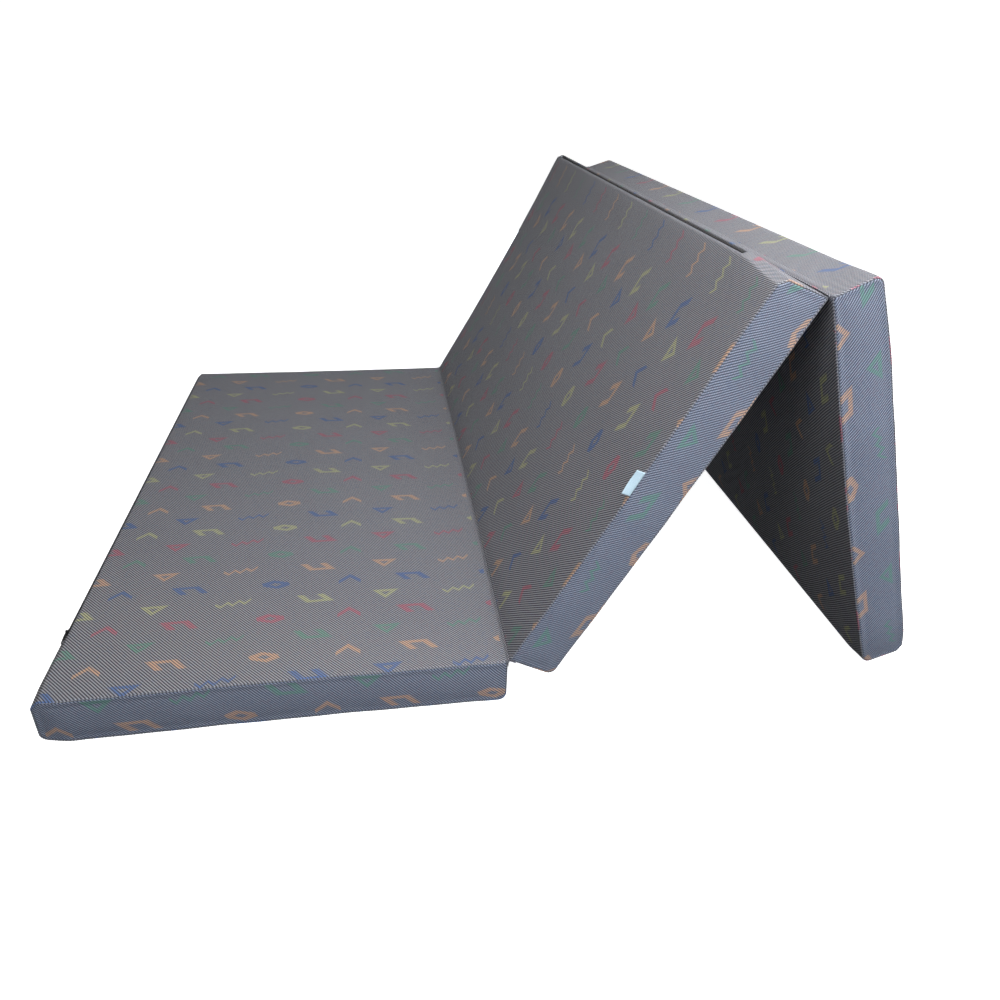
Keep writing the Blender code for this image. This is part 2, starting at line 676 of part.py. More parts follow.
def build_mattress():
    """The three sections, from the one on the floor to the one that stands on its foot."""
    floor_radii = {"low_start": CORNER_RADIUS, "low_end": CORNER_RADIUS, "high_start": FOLD_EDGE_RADIUS}
    middle_radii = {"low_start": CORNER_RADIUS, "low_end": FOLD_EDGE_RADIUS, "high_start": FOLD_EDGE_RADIUS}
    end_radii = {"low_start": FOLD_EDGE_RADIUS, "low_end": CORNER_RADIUS, "high_start": CORNER_RADIUS}
    floor = Section(1, floor_radii, True, 0.0, 0.0, FLOOR_ZIP_MARGIN, True)
    middle = Section(2, middle_radii, False, UNDER_CROWN, MIDDLE_SAG, MIDDLE_ZIP_MARGIN, False)
    end = Section(3, end_radii, False, UNDER_CROWN, END_SAG, END_ZIP_MARGIN, True)

    build_section(floor, False)
    first_axis = fold_seam(1, floor, True, 1)

    middle.axis = Vector((-HALF_LENGTH - FOLD_OUTSET, 0, PAD_HEIGHT + FOLD_RISE))
    middle.holder = fold_holder("fold_1_axis", None, first_axis, Vector((0, 0, 0)), MIDDLE_LEAN)
    build_section(middle, False)
    second_axis = fold_seam(2, middle, False, 1)
    sewn_label(middle)

    lean, ridge = third_lean()
    end.axis = Vector((-HALF_LENGTH - FOLD_OUTSET, 0, -FOLD_RISE))
    end.holder = fold_holder("fold_2_axis", middle.holder, second_axis, middle.axis, -(lean + MIDDLE_LEAN))
    up = Vector((-math.sin(lean), 0, math.cos(lean)))
    end.foot_level = (up, end.axis.dot(up) - ridge)
    build_section(end, True)


clear_scene()
COLLECTION = bpy.data.collections.new("folding_mattress")
CUTTERS = bpy.data.collections.new("cutters")
bpy.context.scene.collection.children.link(COLLECTION)
bpy.context.scene.collection.children.link(CUTTERS)
MATERIALS = {
    "ticking": make_material("grey_ticking", TICKING_TOP, 0.85),
    "side": make_material("grey_ticking_side", TICKING_SIDE, 0.85),
    "foam": make_material("cream_foam", FOAM_COLOUR, 0.95),
    "zip": make_material("black_coil_zip", ZIP_BLACK, 0.55),
    "slider": make_material("black_enamelled_zinc", SLIDER_METAL, 0.4, 0.6),
    "pull": make_material("black_nickel_steel", PULL_METAL, 0.3, 1.0),
    "thread": make_material("polyester_thread", THREAD_DARK, 0.7),
    "label": make_material("satin_label", LABEL_WHITE, 0.6),
}
build_mattress()
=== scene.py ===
"""A guest mattress that folds in three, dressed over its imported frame.

Each section is a firm foam pad in a cover of jacquard ticking: a wrap round the pad, and two side
strips that are sewn to it along the long edges. A coil zip lies in a slit on one edge of each wrap.
Everything is in metres in the frame's own axes: X along the opened bed, -Y the near side, +Z up.
"""

import json
import math

import bmesh
import bpy
import numpy as np
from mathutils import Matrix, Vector


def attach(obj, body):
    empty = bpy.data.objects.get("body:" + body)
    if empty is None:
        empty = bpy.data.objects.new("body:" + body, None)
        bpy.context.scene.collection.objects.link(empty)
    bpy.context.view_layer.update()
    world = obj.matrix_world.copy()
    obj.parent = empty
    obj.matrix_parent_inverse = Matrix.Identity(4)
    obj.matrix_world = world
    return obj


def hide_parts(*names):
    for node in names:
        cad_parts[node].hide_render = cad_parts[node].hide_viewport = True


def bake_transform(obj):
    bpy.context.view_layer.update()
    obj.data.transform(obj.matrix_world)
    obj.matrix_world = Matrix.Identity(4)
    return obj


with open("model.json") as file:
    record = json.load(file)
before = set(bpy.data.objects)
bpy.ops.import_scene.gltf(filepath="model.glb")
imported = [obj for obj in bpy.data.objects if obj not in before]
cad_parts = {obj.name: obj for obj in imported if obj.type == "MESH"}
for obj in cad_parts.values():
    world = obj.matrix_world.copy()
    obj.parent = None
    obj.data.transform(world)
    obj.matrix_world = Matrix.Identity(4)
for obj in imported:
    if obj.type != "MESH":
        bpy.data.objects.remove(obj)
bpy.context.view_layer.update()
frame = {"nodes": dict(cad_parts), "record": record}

# Sizes of the sections and their covers, as in the frame
SECTION_LENGTH = 0.650
BED_WIDTH = 1.200
PAD_HEIGHT = 0.075
CROWN = 0.0035
UNDER_CROWN = 0.0020
SIDE_DRAW = 0.0030
CROWN_MARGIN = 0.012
MIDDLE_SAG = 0.0050
END_SAG = 0.0025
SAG_MARGIN = 0.030
CORNER_RADIUS = 0.013
FOLD_EDGE_RADIUS = 0.004
SIDE_EDGE_RADIUS = 0.005
SMALLEST_RADIUS = 0.0026
CLOTH = 0.0012
GAP = 0.0003
FOLD_OUTSET = 0.00075
FOLD_RISE = 0.0010
MIDDLE_LEAN = math.radians(61.5)
FOOT_FLAT_DEPTH = 0.0005

# Sizes of the zips, as in the frame but for a narrower slit
ZIP_CHAMFER = 0.011
ZIP_LIP_RADIUS = 0.006
ZIP_SLIT = 0.0068
ZIP_FAR_Y = 0.570
TAPE_RUN_ON = 0.012
TAPE_REACH = 0.008

# Sizes of the scene alone
VISIBLE_CLOTH = 0.8 * CLOTH
SEAM_TURN_IN = 0.0016
SEAM_GROOVE = 0.0013
SOFT_END_RADIUS = 0.014
END_BELLY = 0.0035
STRAIGHT_MARGIN = 0.027
WELD = 0.00002

HALF_LENGTH = SECTION_LENGTH / 2
HALF_WIDTH = BED_WIDTH / 2
HALF_HEIGHT = PAD_HEIGHT / 2
STRAIGHT_END = HALF_LENGTH - STRAIGHT_MARGIN
ROOT_HALF = math.sqrt(0.5)
ALONG_Y = np.array([0.0, 1.0, 0.0])

# Motif rows on the ticking, in millimetres: the repeat along a row and the distance between rows
MOTIF_REPEAT = 360.0
ROW_PITCH = 42.9


# Nodes


def linear(hex_colour):
    """An sRGB hex colour as linear RGBA: each channel c becomes ((c + 0.055) / 1.055) to the power 2.4."""
    channels = [int(hex_colour[i:i + 2], 16) / 255 for i in (1, 3, 5)]
    return [c / 12.92 if c <= 0.04045 else ((c + 0.055) / 1.055) ** 2.4 for c in channels] + [1.0]


def fill(node, sockets):
    """Sets or links inputs by key; a hex colour turns linear, a node stands for its first output in use."""
    for key, value in sockets.items():
        if isinstance(value, str):
            value = linear(value)
        if isinstance(value, bpy.types.Node):
            value = next(output for output in value.outputs if output.enabled)
        if isinstance(value, bpy.types.NodeSocket):
            node.id_data.links.new(value, node.inputs[key])
        else:
            node.inputs[key].default_value = value


def put(tree, kind, *inputs, sockets=(), **settings):
    """Adds a shader node, sets its properties, and fills its inputs in order or by their keys."""
    made = tree.nodes.new("ShaderNode" + kind)
    for name, value in settings.items():
        setattr(made, name, value)
    fill(made, {**dict(enumerate(inputs)), **dict(sockets)})
    return made


def new_material(name):
    """An empty node material, its tree and its Principled shader."""
    material = bpy.data.materials.new(name)
    material.use_nodes = True
    return material, material.node_tree, material.node_tree.nodes["Principled BSDF"]


# Shapes


def smooth_step(x):
    """0 below 0, 1 above 1, and 3x^2 - 2x^3 between."""
    t = np.clip(x, 0, 1)
    return t * t * (3 - 2 * t)


def spread(*parts):
    """Coordinates of unlike shapes as one grid of points."""
    return np.stack(np.broadcast_arrays(*parts), -1)


def lengths_along(line):
    """The length from a line's start to each of its points."""
    return np.concatenate([[0], np.cumsum(np.linalg.norm(np.diff(line, axis=0), axis=1))])


def arc_points(centre, radius, start, sweep, count):
    """count + 1 points of an arc: centre + radius * (cos a, sin a)."""
    angle = start + sweep * np.linspace(0, 1, count + 1)
    return np.stack([centre[0] + radius * np.cos(angle), centre[1] + radius * np.sin(angle)], -1)


def between(a, b, count):
    """count points on the straight line from a to b, without its two ends."""
    t = np.linspace(0, 1, count + 2)[1:-1, None]
    return np.array(a) * (1 - t) + np.array(b) * t


def build_mesh(name, points, faces, uv, material, marks=None, weld=0.0):
    """A smooth mesh object at the origin from arrays of points, quads and corner UVs in metres."""
    mesh = bpy.data.meshes.new(name)
    mesh.from_pydata(points.tolist(), [], faces.tolist())
    if uv is not None:
        layer = mesh.uv_layers.new(name="cloth")
        layer.data.foreach_set("uv", uv.astype(np.float32).ravel())
    for title, values in (marks or {}).items():
        attribute = mesh.attributes.new(title, "FLOAT", "POINT")
        attribute.data.foreach_set("value", values.astype(np.float32).ravel())
    if weld:
        bm = bmesh.new()
        bm.from_mesh(mesh)
        bmesh.ops.remove_doubles(bm, verts=bm.verts, dist=weld)
        bmesh.ops.dissolve_degenerate(bm, edges=bm.edges, dist=weld / 10)
        bm.to_mesh(mesh)
        bm.free()
    mesh.shade_smooth()
    made = bpy.data.objects.new(name, mesh)
    bpy.context.scene.collection.objects.link(made)
    mesh.materials.append(material)
    return made


def cap_ends(made, sides):
    """Closes the open ends of a mesh's tubes and turns its faces outwards."""
    bm = bmesh.new()
    bm.from_mesh(made.data)
    bmesh.ops.holes_fill(bm, edges=[e for e in bm.edges if e.is_boundary], sides=sides)
    bmesh.ops.recalc_face_normals(bm, faces=bm.faces)
    bm.to_mesh(made.data)
    bm.free()
    made.data.shade_smooth()


def grid_faces(rows, columns, closed):
    """Quads between neighbouring rows and columns; a closed grid joins its last column to its first."""
    r = np.arange(rows - 1)[:, None]
    c = np.arange(columns if closed else columns - 1)[None, :]
    following = (c + 1) % columns
    return np.stack([r * columns + c, r * columns + following, (r + 1) * columns + following,
                     (r + 1) * columns + c], -1)


def corner_uvs(uv):
    """The UVs at the four corners of each quad, from a grid with one row and one column more."""
    return np.stack([uv[:-1, :-1], uv[:-1, 1:], uv[1:, 1:], uv[1:, :-1]], 2)


def grid_piece(name, points, uv, material, closed=False, flip=False, hole=None, marks=None, weld=0.0):
    """A grid of points (rows, columns, 3) as a surface; uv has one more column when the grid is closed."""
    quads = grid_faces(*points.shape[:2], closed)
    corners = corner_uvs(uv)
    if flip:
        quads = quads[..., ::-1]
        corners = corners[:, :, ::-1]
    keep = np.ones(quads.shape[:2], bool) if hole is None else ~hole
    marks = {title: values.ravel() for title, values in (marks or {}).items()}
    return build_mesh(name, points.reshape(-1, 3), quads[keep].reshape(-1, 4),
                      corners[keep].reshape(-1, 2), material, marks, weld)


def tubes(name, paths, radius, sides, reference, material):
    """Round threads along paths (threads, points, 3).

    Round each point the ring is centre + radius * (side * cos a + up * sin a), where side is the path's
    direction crossed with a reference direction, and up is side crossed with the path's direction.
    """
    threads, count = paths.shape[:2]
    ahead = np.gradient(paths, axis=1)
    ahead /= np.linalg.norm(ahead, axis=2, keepdims=True)
    side = np.cross(ahead, np.broadcast_to(reference, ahead.shape))
    side /= np.linalg.norm(side, axis=2, keepdims=True)
    up = np.cross(side, ahead)
    angle = np.arange(sides) * 2 * np.pi / sides
    ring = side[:, :, None] * np.cos(angle)[:, None] + up[:, :, None] * np.sin(angle)[:, None]
    points = paths[:, :, None] + ring * radius
    quads = grid_faces(count, sides, True).reshape(1, -1, 4)
    quads = quads + (np.arange(threads) * count * sides)[:, None, None]
    made = build_mesh(name, points.reshape(-1, 3), quads.reshape(-1, 4)[:, ::-1], None, material)
    cap_ends(made, sides)
    return made


def give_wall(made, title, thickness, even=False):
    """Cloth thickness, added behind the surface."""
    wall = made.modifiers.new(title, "SOLIDIFY")
    wall.thickness = thickness
    wall.offset = -1
    wall.use_even_offset = even


def dress(made, body, replaced=None):
    """The piece rides on a body and stands for a CAD node, which it hides."""
    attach(made, body)
    if replaced:
        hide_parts(replaced)


# The sections


class Section:
    """A section: its edge radii, the side and start of its zip, its sag, and its place in the frame.

    radii are those at the low start, the low end and the high start of its length. eases lists its soft
    corners, each as which end, reach along and across, pulls in x below and above, in y, and in z below
    and above. pattern and strip_pattern shift the motif rows, in millimetres, to where the cover was cut.
    """

    turn = np.identity(3)
    shift = np.zeros(3)
    foot = False
    belly = 0.0
    under_wave = 1.0

    def __init__(self, number, body, radii, side, under_crown, sag, zip_near, eases, pattern,
                 strip_pattern):
        self.number = number
        self.body = body
        self.radii = radii
        self.side = side
        self.under_crown = under_crown
        self.sag = sag
        self.zip_near = zip_near
        self.eases = eases
        self.pattern = pattern
        self.strip_pattern = strip_pattern

    def hang(self, height, axis_row, angle):
        """Turns the section about the fold at its start: row = axis + turn @ (local - local axis)."""
        c, s = math.cos(angle), math.sin(angle)
        self.turn = np.array([[c, 0, -s], [0, 1, 0], [s, 0, c]])
        self.shift = np.array(axis_row) - self.turn @ np.array((-HALF_LENGTH - FOLD_OUTSET, 0, height))

    def place(self, local):
        """Local points to the row frame, with the foot flattened on the floor where there is one."""
        row = (local * np.array([self.side, 1, 1])) @ self.turn.T + self.shift
        if self.foot:
            row[..., 2] = np.maximum(row[..., 2], 0)
        return row


def zip_corner(inset):
    """The zip's corner, a 45 degree band set in by inset: its middle and the arcs of its two lips."""
    end = HALF_LENGTH - inset
    top = PAD_HEIGHT - inset
    leg = ZIP_CHAMFER - (2 - math.sqrt(2)) * inset
    radius = max(ZIP_LIP_RADIUS - inset, SMALLEST_RADIUS)
    tangent = radius * math.tan(math.pi / 8)
    lower = arc_points((end - radius, top - leg - tangent), radius, 0, np.pi / 4, 5)
    upper = arc_points((end - leg - tangent, top - radius), radius, np.pi / 4, np.pi / 4, 5)
    return np.array([end - leg / 2, top - leg / 2]), lower, upper


def section_ring(radii, inset, zip_radius=None, steps=82):
    """A section's outline set in by inset, as points (x, z) from the middle of the underside.

    Straight runs along the underside and the sleeping side share their x places. Each corner is an arc of
    the edge's radius less the inset. The zip's corner has the slit's two edges on its band, or is an arc
    where a zip radius is given. The place of the slit's first edge comes second.
    """
    end = HALF_LENGTH - inset
    top = PAD_HEIGHT - inset
    low_start, low_end, high_start = [max(radius - inset, SMALLEST_RADIUS) for radius in radii]
    x = np.linspace(-STRAIGHT_END, STRAIGHT_END, steps + 1)
    below = spread(x, inset)
    above = spread(x[::-1], top)
    right = [arc_points((end - low_end, inset + low_end), low_end, -np.pi / 2, np.pi / 2, 6)]
    if zip_radius is None:
        middle, lower, upper = zip_corner(inset)
        across = ZIP_SLIT / 2 * ROOT_HALF
        slit = np.array([middle + (across, -across), middle + (-across, across)])
        right += [between(right[0][-1], lower[0], 9), lower, slit, upper]
    else:
        curve = arc_points((end - zip_radius, top - zip_radius), zip_radius, 0, np.pi / 2, 12)
        right += [between(right[0][-1], curve[0], 9), curve]
    left = [arc_points((high_start - end, top - high_start), high_start, np.pi / 2, np.pi / 2, 5)]
    last = arc_points((low_start - end, inset + low_start), low_start, np.pi, np.pi / 2, 6)
    left += [between(left[0][-1], last[0], 9), last]
    ring = np.concatenate([below] + right + [above] + left)
    slit_place = len(below) + 7 + 9 + 6
    return np.roll(ring, -(steps // 2), axis=0), slit_place - steps // 2


def middle_line(ring):
    """For each point of an outline, the nearest point of the section's middle line."""
    return spread(np.clip(ring[:, 0], -HALF_LENGTH + HALF_HEIGHT, HALF_LENGTH - HALF_HEIGHT), HALF_HEIGHT)


def girth_places(ring):
    """Places along a closed outline, as lengths from the middle of the sleeping side, growing with x."""
    length = lengths_along(np.concatenate([ring, ring[:1]]))
    top_middle = np.argmin(np.abs(ring[:, 0]) + 10 * (ring[:, 1] < HALF_HEIGHT))
    return length[top_middle] - length, length[-1]


def pad_shape(section, x, y, z):
    """The crowned pad: the block's points with the crown and the drawn-in sides.

    z grows by crown * (1 - u^2) * (1 - v^2), u and v being x and y over the half sizes less a margin, and
    y shrinks by the draw-in times (1 - u^2). A leaning section sags by its sag times (1 - w^2), w being x
    over its own half length; its belly lifts the sleeping side by belly * (1 - w^2)^2. Near a soft corner a
    point is pulled in by the product of two smooth steps. Slow waves of half a millimetre follow the foam.
    """
    for way, reach_x, reach_y, pull_low, pull_high, pull_y, low, high in section.eases:
        ease = (smooth_step((way * x - HALF_LENGTH + reach_x) / reach_x)
                * smooth_step((-y - HALF_WIDTH + reach_y) / reach_y))
        height = np.clip(z / PAD_HEIGHT, 0, 1)
        x = x - way * ease * (pull_low * (1 - height) + pull_high * height)
        z = z + ease * (low * (1 - height) - high * height)
        y = y + ease * pull_y
    along = 1 - np.minimum((x / (HALF_LENGTH - CROWN_MARGIN)) ** 2, 1)
    across = 1 - np.minimum((y / (HALF_WIDTH - CROWN_MARGIN)) ** 2, 1)
    share = z / PAD_HEIGHT
    swell = CROWN * share - section.under_crown * (1 - share)
    phase = section.number * 1.7
    inside = smooth_step(along * 6) * smooth_step(across * 9)
    wave = (np.sin(x * 31 + y * 9 + phase) + np.sin(y * 23 - x * 12 + 2 * phase)
            + 0.6 * np.sin(x * 53 - y * 37 + phase)) * 0.00022
    edge_wave = ((np.sin(x * 38 + phase) + 0.7 * np.sin(x * 71 + 3 * phase)) * 0.00035
                 * smooth_step(along * 8))
    new_y = y * (1 - SIDE_DRAW * along / HALF_WIDTH) + np.sign(y) * edge_wave
    arch = 1 - np.minimum((x / (HALF_LENGTH - SAG_MARGIN)) ** 2, 1)
    skin = share - section.under_wave * (1 - share)
    belly = section.belly * arch ** 2 * share
    new_z = z + swell * along * across - section.sag * arch + wave * inside * skin + belly
    return spread(x, new_y, new_z)


def side_round(angle):
    """Inset and width at an angle round the long edge, measured from the wrap's flat."""
    return (SIDE_EDGE_RADIUS * (1 - np.cos(angle)),
            HALF_WIDTH - SIDE_EDGE_RADIUS * (1 - np.sin(angle)))


def seam_levels(first_angle, last_angle):
    """Insets and widths of seven rings from a seam's turned-in edge to the last angle of the long edge."""
    inset, width = side_round(np.radians(np.linspace(first_angle, last_angle, 6)))
    return (np.concatenate([[inset[0] + SEAM_TURN_IN], inset]),
            np.concatenate([[width[0] - SEAM_TURN_IN], width]))


def ticking_wrap(section, cloth):
    """The wrap: the section's outline carried along Y, turned in at both seams and slit for the zip."""
    inset, width = seam_levels(43.5, 0.0)
    close = HALF_WIDTH - SIDE_EDGE_RADIUS - np.array([0.004, 0.009, 0.015, 0.022])
    slit_ends = np.array([section.zip_near, ZIP_FAR_Y])
    inner = np.linspace(-close[-1], close[-1], 150)[1:-1]
    inner = inner[(np.abs(inner[:, None] - slit_ends) > 0.004).all(1)]
    inner = np.sort(np.concatenate([inner, slit_ends]))
    y = np.concatenate([-width, -close, inner, close[::-1], width[::-1]])
    insets = np.concatenate([inset, np.zeros(2 * len(close) + len(inner)), inset[::-1]])
    ring = np.stack([section_ring(section.radii, value)[0] for value in insets])
    points = pad_shape(section, ring[..., 0], y[:, None], ring[..., 1])
    outline, slit_place = section_ring(section.radii, 0)
    places, girth = girth_places(outline)
    fit = 4 * MOTIF_REPEAT / 1000 / girth
    uv = spread(places * fit * section.side, y[:, None]) + np.array(section.pattern) / 1000
    hole = np.zeros((len(y) - 1, ring.shape[1]), bool)
    hole[(y[:-1] > slit_ends[0] - 1e-6) & (y[1:] < slit_ends[1] + 1e-6), slit_place] = True
    seam = (HALF_WIDTH - np.abs(points[..., 1])) * 1000
    made = grid_piece(f"ticking_wrap_{section.number}", section.place(points), uv, cloth, closed=True,
                      flip=section.side > 0, hole=hole, marks={"seam_mm": seam})
    give_wall(made, "cloth", VISIBLE_CLOTH, even=True)
    dress(made, section.body, f"cover_wrap_{section.number}")


def ticking_strip(section, name, cloth):
    """The near or far side strip: rings from the seam, over the rounded edge, to a line along its middle.

    Beyond the edge each point goes from the outline towards the nearest point of the middle line, and
    bulges out by 0.8 mm times b^2 (3 - 2b), b being its share of the way. Beside the seam the strip lies
    1.3 mm lower than the wrap, which leaves a groove along the stitches.
    """
    sign = -1 if name == "near" else 1
    groove = np.array([0.0] + 6 * [SEAM_GROOVE]) * math.sin(math.radians(45))
    inset, width = seam_levels(46.5, 90)
    inset += groove
    width -= groove
    rings = [section_ring(section.radii, value)[0] for value in inset]
    shares = np.array([0.08, 0.2, 0.36, 0.55, 0.78, 1.0])
    rings += [rings[6] * (1 - b) + middle_line(rings[6]) * b for b in shares]
    y = np.concatenate([width, np.full(len(shares), HALF_WIDTH)])
    bulge = 0.0008 * smooth_step(shares) - [SEAM_GROOVE, 0.0009, 0.0003, 0, 0, 0]
    ring = np.stack(rings)
    points = pad_shape(section, ring[..., 0], sign * y[:, None], ring[..., 1])
    points[..., 1] += sign * np.concatenate([np.zeros(len(width)), bulge])[:, None]
    uv = ring * np.array([section.side, 1]) + np.array(section.strip_pattern) / 1000
    steps = np.concatenate([[0], np.cumsum([SEAM_TURN_IN] + 5 * [0.0011]), 0.006 + shares * 0.032])
    seam = np.broadcast_to(steps[:len(y), None] * 1000, ring.shape[:2])
    made = grid_piece(f"ticking_strip_{name}_{section.number}", section.place(points),
                      np.concatenate([uv, uv[:, :1]], 1), cloth, closed=True,
                      flip=(section.side > 0) != (name == "near"), marks={"seam_mm": seam}, weld=WELD)
    give_wall(made, "cloth", VISIBLE_CLOTH)
    dress(made, section.body, f"{name}_side_strip_{section.number}")


def foam_core(section, foam):
    """The foam block, its long edges rounded: rings at inset f + r(1 - cos a), width - r(1 - sin a)."""
    gap = 0.0026
    radius = 0.015
    angle = np.linspace(np.pi / 2, 0, 5)
    inset = gap + radius * (1 - np.cos(angle))
    width = HALF_WIDTH - gap - radius * (1 - np.sin(angle))
    y = np.concatenate([-width[:1], -width, np.linspace(-0.55, 0.55, 12), width[::-1], width[:1]])
    insets = np.concatenate([inset, np.full(12, gap), inset[::-1]])
    radii = [max(0.014, value + 0.003) for value in section.radii]
    rings = [section_ring(radii, value, zip_radius=max(0.0235 - value, 0.004))[0] for value in insets]
    ring = np.stack([middle_line(rings[0])] + rings + [middle_line(rings[-1])])
    points = pad_shape(section, ring[..., 0], y[:, None], ring[..., 1])
    made = grid_piece(f"foam_core_{section.number}", section.place(points),
                      np.zeros((len(y), ring.shape[1] + 1, 2)), foam, closed=True,
                      flip=section.side > 0, weld=WELD)
    dress(made, section.body, f"foam_block_{section.number}")


# The zips


def zip_place(section, across, along, out):
    """Points on a zip, from across towards the sleeping side, along the chain and out of the cover."""
    middle = np.array([HALF_LENGTH - ZIP_CHAMFER / 2, 0, PAD_HEIGHT - ZIP_CHAMFER / 2])
    over = np.array([-ROOT_HALF, 0, ROOT_HALF])
    outward = np.array([ROOT_HALF, 0, ROOT_HALF])
    shares = spread(across, along, out)
    return section.place(middle + shares[..., :1] * over + shares[..., 2:] * outward
                         + shares[..., 1:2] * ALONG_Y)


def zip_coil(section, name, nylon):
    """One half of the coil: an oval helix whose heads reach between the other half's heads.

    For turn angle t the wire lies at across = c - w cos t, out = h sin t and along = pitch * t / turn. The
    pitch is 1.45 mm, a little coarser than a real 4 mm coil, so that the teeth show.
    """
    pitch = 0.00145
    wire = 0.00034
    turns = int((ZIP_FAR_Y - section.zip_near - 0.003) / pitch)
    t = np.arange(turns * 8 + 1) * 2 * np.pi / 8
    sign, phase = (1, 0) if name == "upper" else (-1, np.pi)
    across = sign * (0.00085 - 0.00105 * np.cos(t))
    out = -0.0003 + 0.00062 * np.sin(t)
    along = section.zip_near + 0.0015 + pitch * (t + phase) / (2 * np.pi)
    path = zip_place(section, across, along, out)[None]
    made = tubes(f"coil_{name}_{section.number}", path, wire, 5, ALONG_Y, nylon)
    dress(made, section.body, f"zip_coil_{name}_{section.number}")


def zip_tape(section, name, tape):
    """One tape: a strip that follows the inside of the zip's corner from the coil to its hem."""
    middle, lower, upper = zip_corner(CLOTH + GAP)
    step = 0.0007 * ROOT_HALF
    if name == "upper":
        line = np.concatenate([[middle + (-step, step)], upper, [upper[-1] - (TAPE_REACH, 0)]])
    else:
        line = np.concatenate([[middle + (step, -step)], lower[::-1], [lower[0] - (0, TAPE_REACH)]])
    y = np.linspace(section.zip_near - TAPE_RUN_ON, ZIP_FAR_Y + TAPE_RUN_ON, 60)[:, None]
    made = grid_piece(f"tape_{name}_{section.number}", section.place(spread(line[:, 0], y, line[:, 1])),
                      spread(lengths_along(line), y), tape, flip=(section.side > 0) == (name == "upper"))
    give_wall(made, "weave", 0.0005)
    dress(made, section.body, f"zip_tape_{name}_{section.number}")


def zip_stitching(section, thread):
    """Lock stitches along both lips of the slit: 3.1 mm floats that dip into the cloth at both ends."""
    starts = np.arange(section.zip_near - 0.002, ZIP_FAR_Y + 0.002, 0.0036)
    along = starts[:, None] + np.array([0.0, 0.14, 0.5, 0.86, 1.0]) * 0.0031
    lift = np.array([-0.00025, 0.0001, 0.00022, 0.0001, -0.00025])
    paths = np.concatenate([zip_place(section, across, along, lift) for across in (-0.0056, 0.0056)])
    out = section.turn @ np.array([ROOT_HALF * section.side, 0, ROOT_HALF])
    made = tubes(f"zip_stitching_{section.number}", paths, 0.00019, 6, out, thread)
    dress(made, section.body)


def seam_stitching(section, thread):
    """The seams' stitches: 2.4 mm floats every 3.4 mm, along the outline where wrap and strip meet.

    Each float follows the seam's outline and rises over it as an arch, h = 4 c (1 - c) over its length.
    """
    pitch = 0.0034
    edge = 0.006
    angle = math.radians(40)
    inset, width = side_round(angle)
    ring = section_ring(section.radii, inset)[0]
    closed = np.concatenate([ring, ring[:1]])
    length = lengths_along(closed)
    count = int(length[-1] / pitch)
    share = np.linspace(0, 1, 5)
    places = (np.arange(count)[:, None] + share * 0.7) * length[-1] / count
    x = np.interp(places, length, closed[:, 0])
    z = np.interp(places, length, closed[:, 1])
    lift = (4 * share * (1 - share) * 0.00045 - 0.00022)[None, :]
    z = z + lift * 0.7 * np.sign(z - HALF_HEIGHT) * (np.abs(z - HALF_HEIGHT) > HALF_HEIGHT - edge)
    x = x + lift * 0.7 * np.sign(x) * (np.abs(x) > HALF_LENGTH - edge)
    y = width + lift * math.sin(angle)
    paths = [section.place(pad_shape(section, x, sign * y, z)) for sign in (-1, 1)]
    made = tubes(f"seam_stitching_{section.number}", np.concatenate(paths), 0.00021, 5, ALONG_Y, thread)
    dress(made, section.body)


# The folds, tacks and label


def fold_roll(number, axis, first, second, cloth):
    """The sewn fold: a roll about the axis, a web down the end of each section, and a ribbon over both.

    These outlines are carried along Y. The ribbon is the covers' joined cloth, which lies on both surfaces
    and dips into the fold between them. first and second each hold two directions: down a section's end
    and back over its surface. Points between the two bodies turn smoothly from one to the other.
    """
    radius = 0.0012
    thick = 0.00022
    depth = 0.012
    ring = arc_points((0, 0), radius, 0, 2 * np.pi, 16)[:-1]
    shapes = [(ring, 1)]
    for down, back in (first, second):
        down = np.array(down)
        base = np.array(back) * 0.0002
        side = np.array(back) * thick
        neck = base + down * radius * 0.9
        tip = base + down * depth
        shapes.append((np.array([neck - side, tip - side, tip + side, neck + side]), 1))
    # The ribbon's way back and its height, from the axis, which lies a millimetre over the surface
    flap = np.array([(0.0062, -0.00078), (0.0055, -0.00072), (0.0048, -0.00072), (0.0040, -0.0008),
                     (0.0030, -0.0010), (0.0020, -0.0013)])
    sides = [flap[:, :1] * np.array(back) - flap[:, 1:] * np.array(down) for down, back in (first, second)]
    dip = np.array(first[0]) + np.array(second[0])
    dip = dip / np.linalg.norm(dip)
    top = np.concatenate([sides[0], [dip * 0.0021], sides[1][::-1]])
    downs = np.array(len(flap) * [first[0]] + [dip] + len(flap) * [second[0]])
    shapes.append((np.concatenate([top, (top + downs * 0.0003)[::-1]]), 0.9966))
    y = np.linspace(-HALF_WIDTH + 0.0015, HALF_WIDTH - 0.0015, 140)[:, None]
    points, faces, uvs = [], [], []
    for line, reach in shapes:
        closed = np.concatenate([line, line[:1]])
        faces.append(grid_faces(len(y), len(line), True).reshape(-1, 4) + sum(map(len, points)))
        uvs.append(corner_uvs(spread(lengths_along(closed), y)).reshape(-1, 2))
        points.append(spread(axis[0] + line[:, 0], y * reach, axis[2] + line[:, 1]).reshape(-1, 3))
    points = np.concatenate(points)
    made = build_mesh(f"fold_roll_{number}", points, np.concatenate(faces), np.concatenate(uvs), cloth,
                      {"seam_mm": np.full(len(points), 30.0)})
    cap_ends(made, 30)
    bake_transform(made)
    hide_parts(f"fold_seam_{number}")


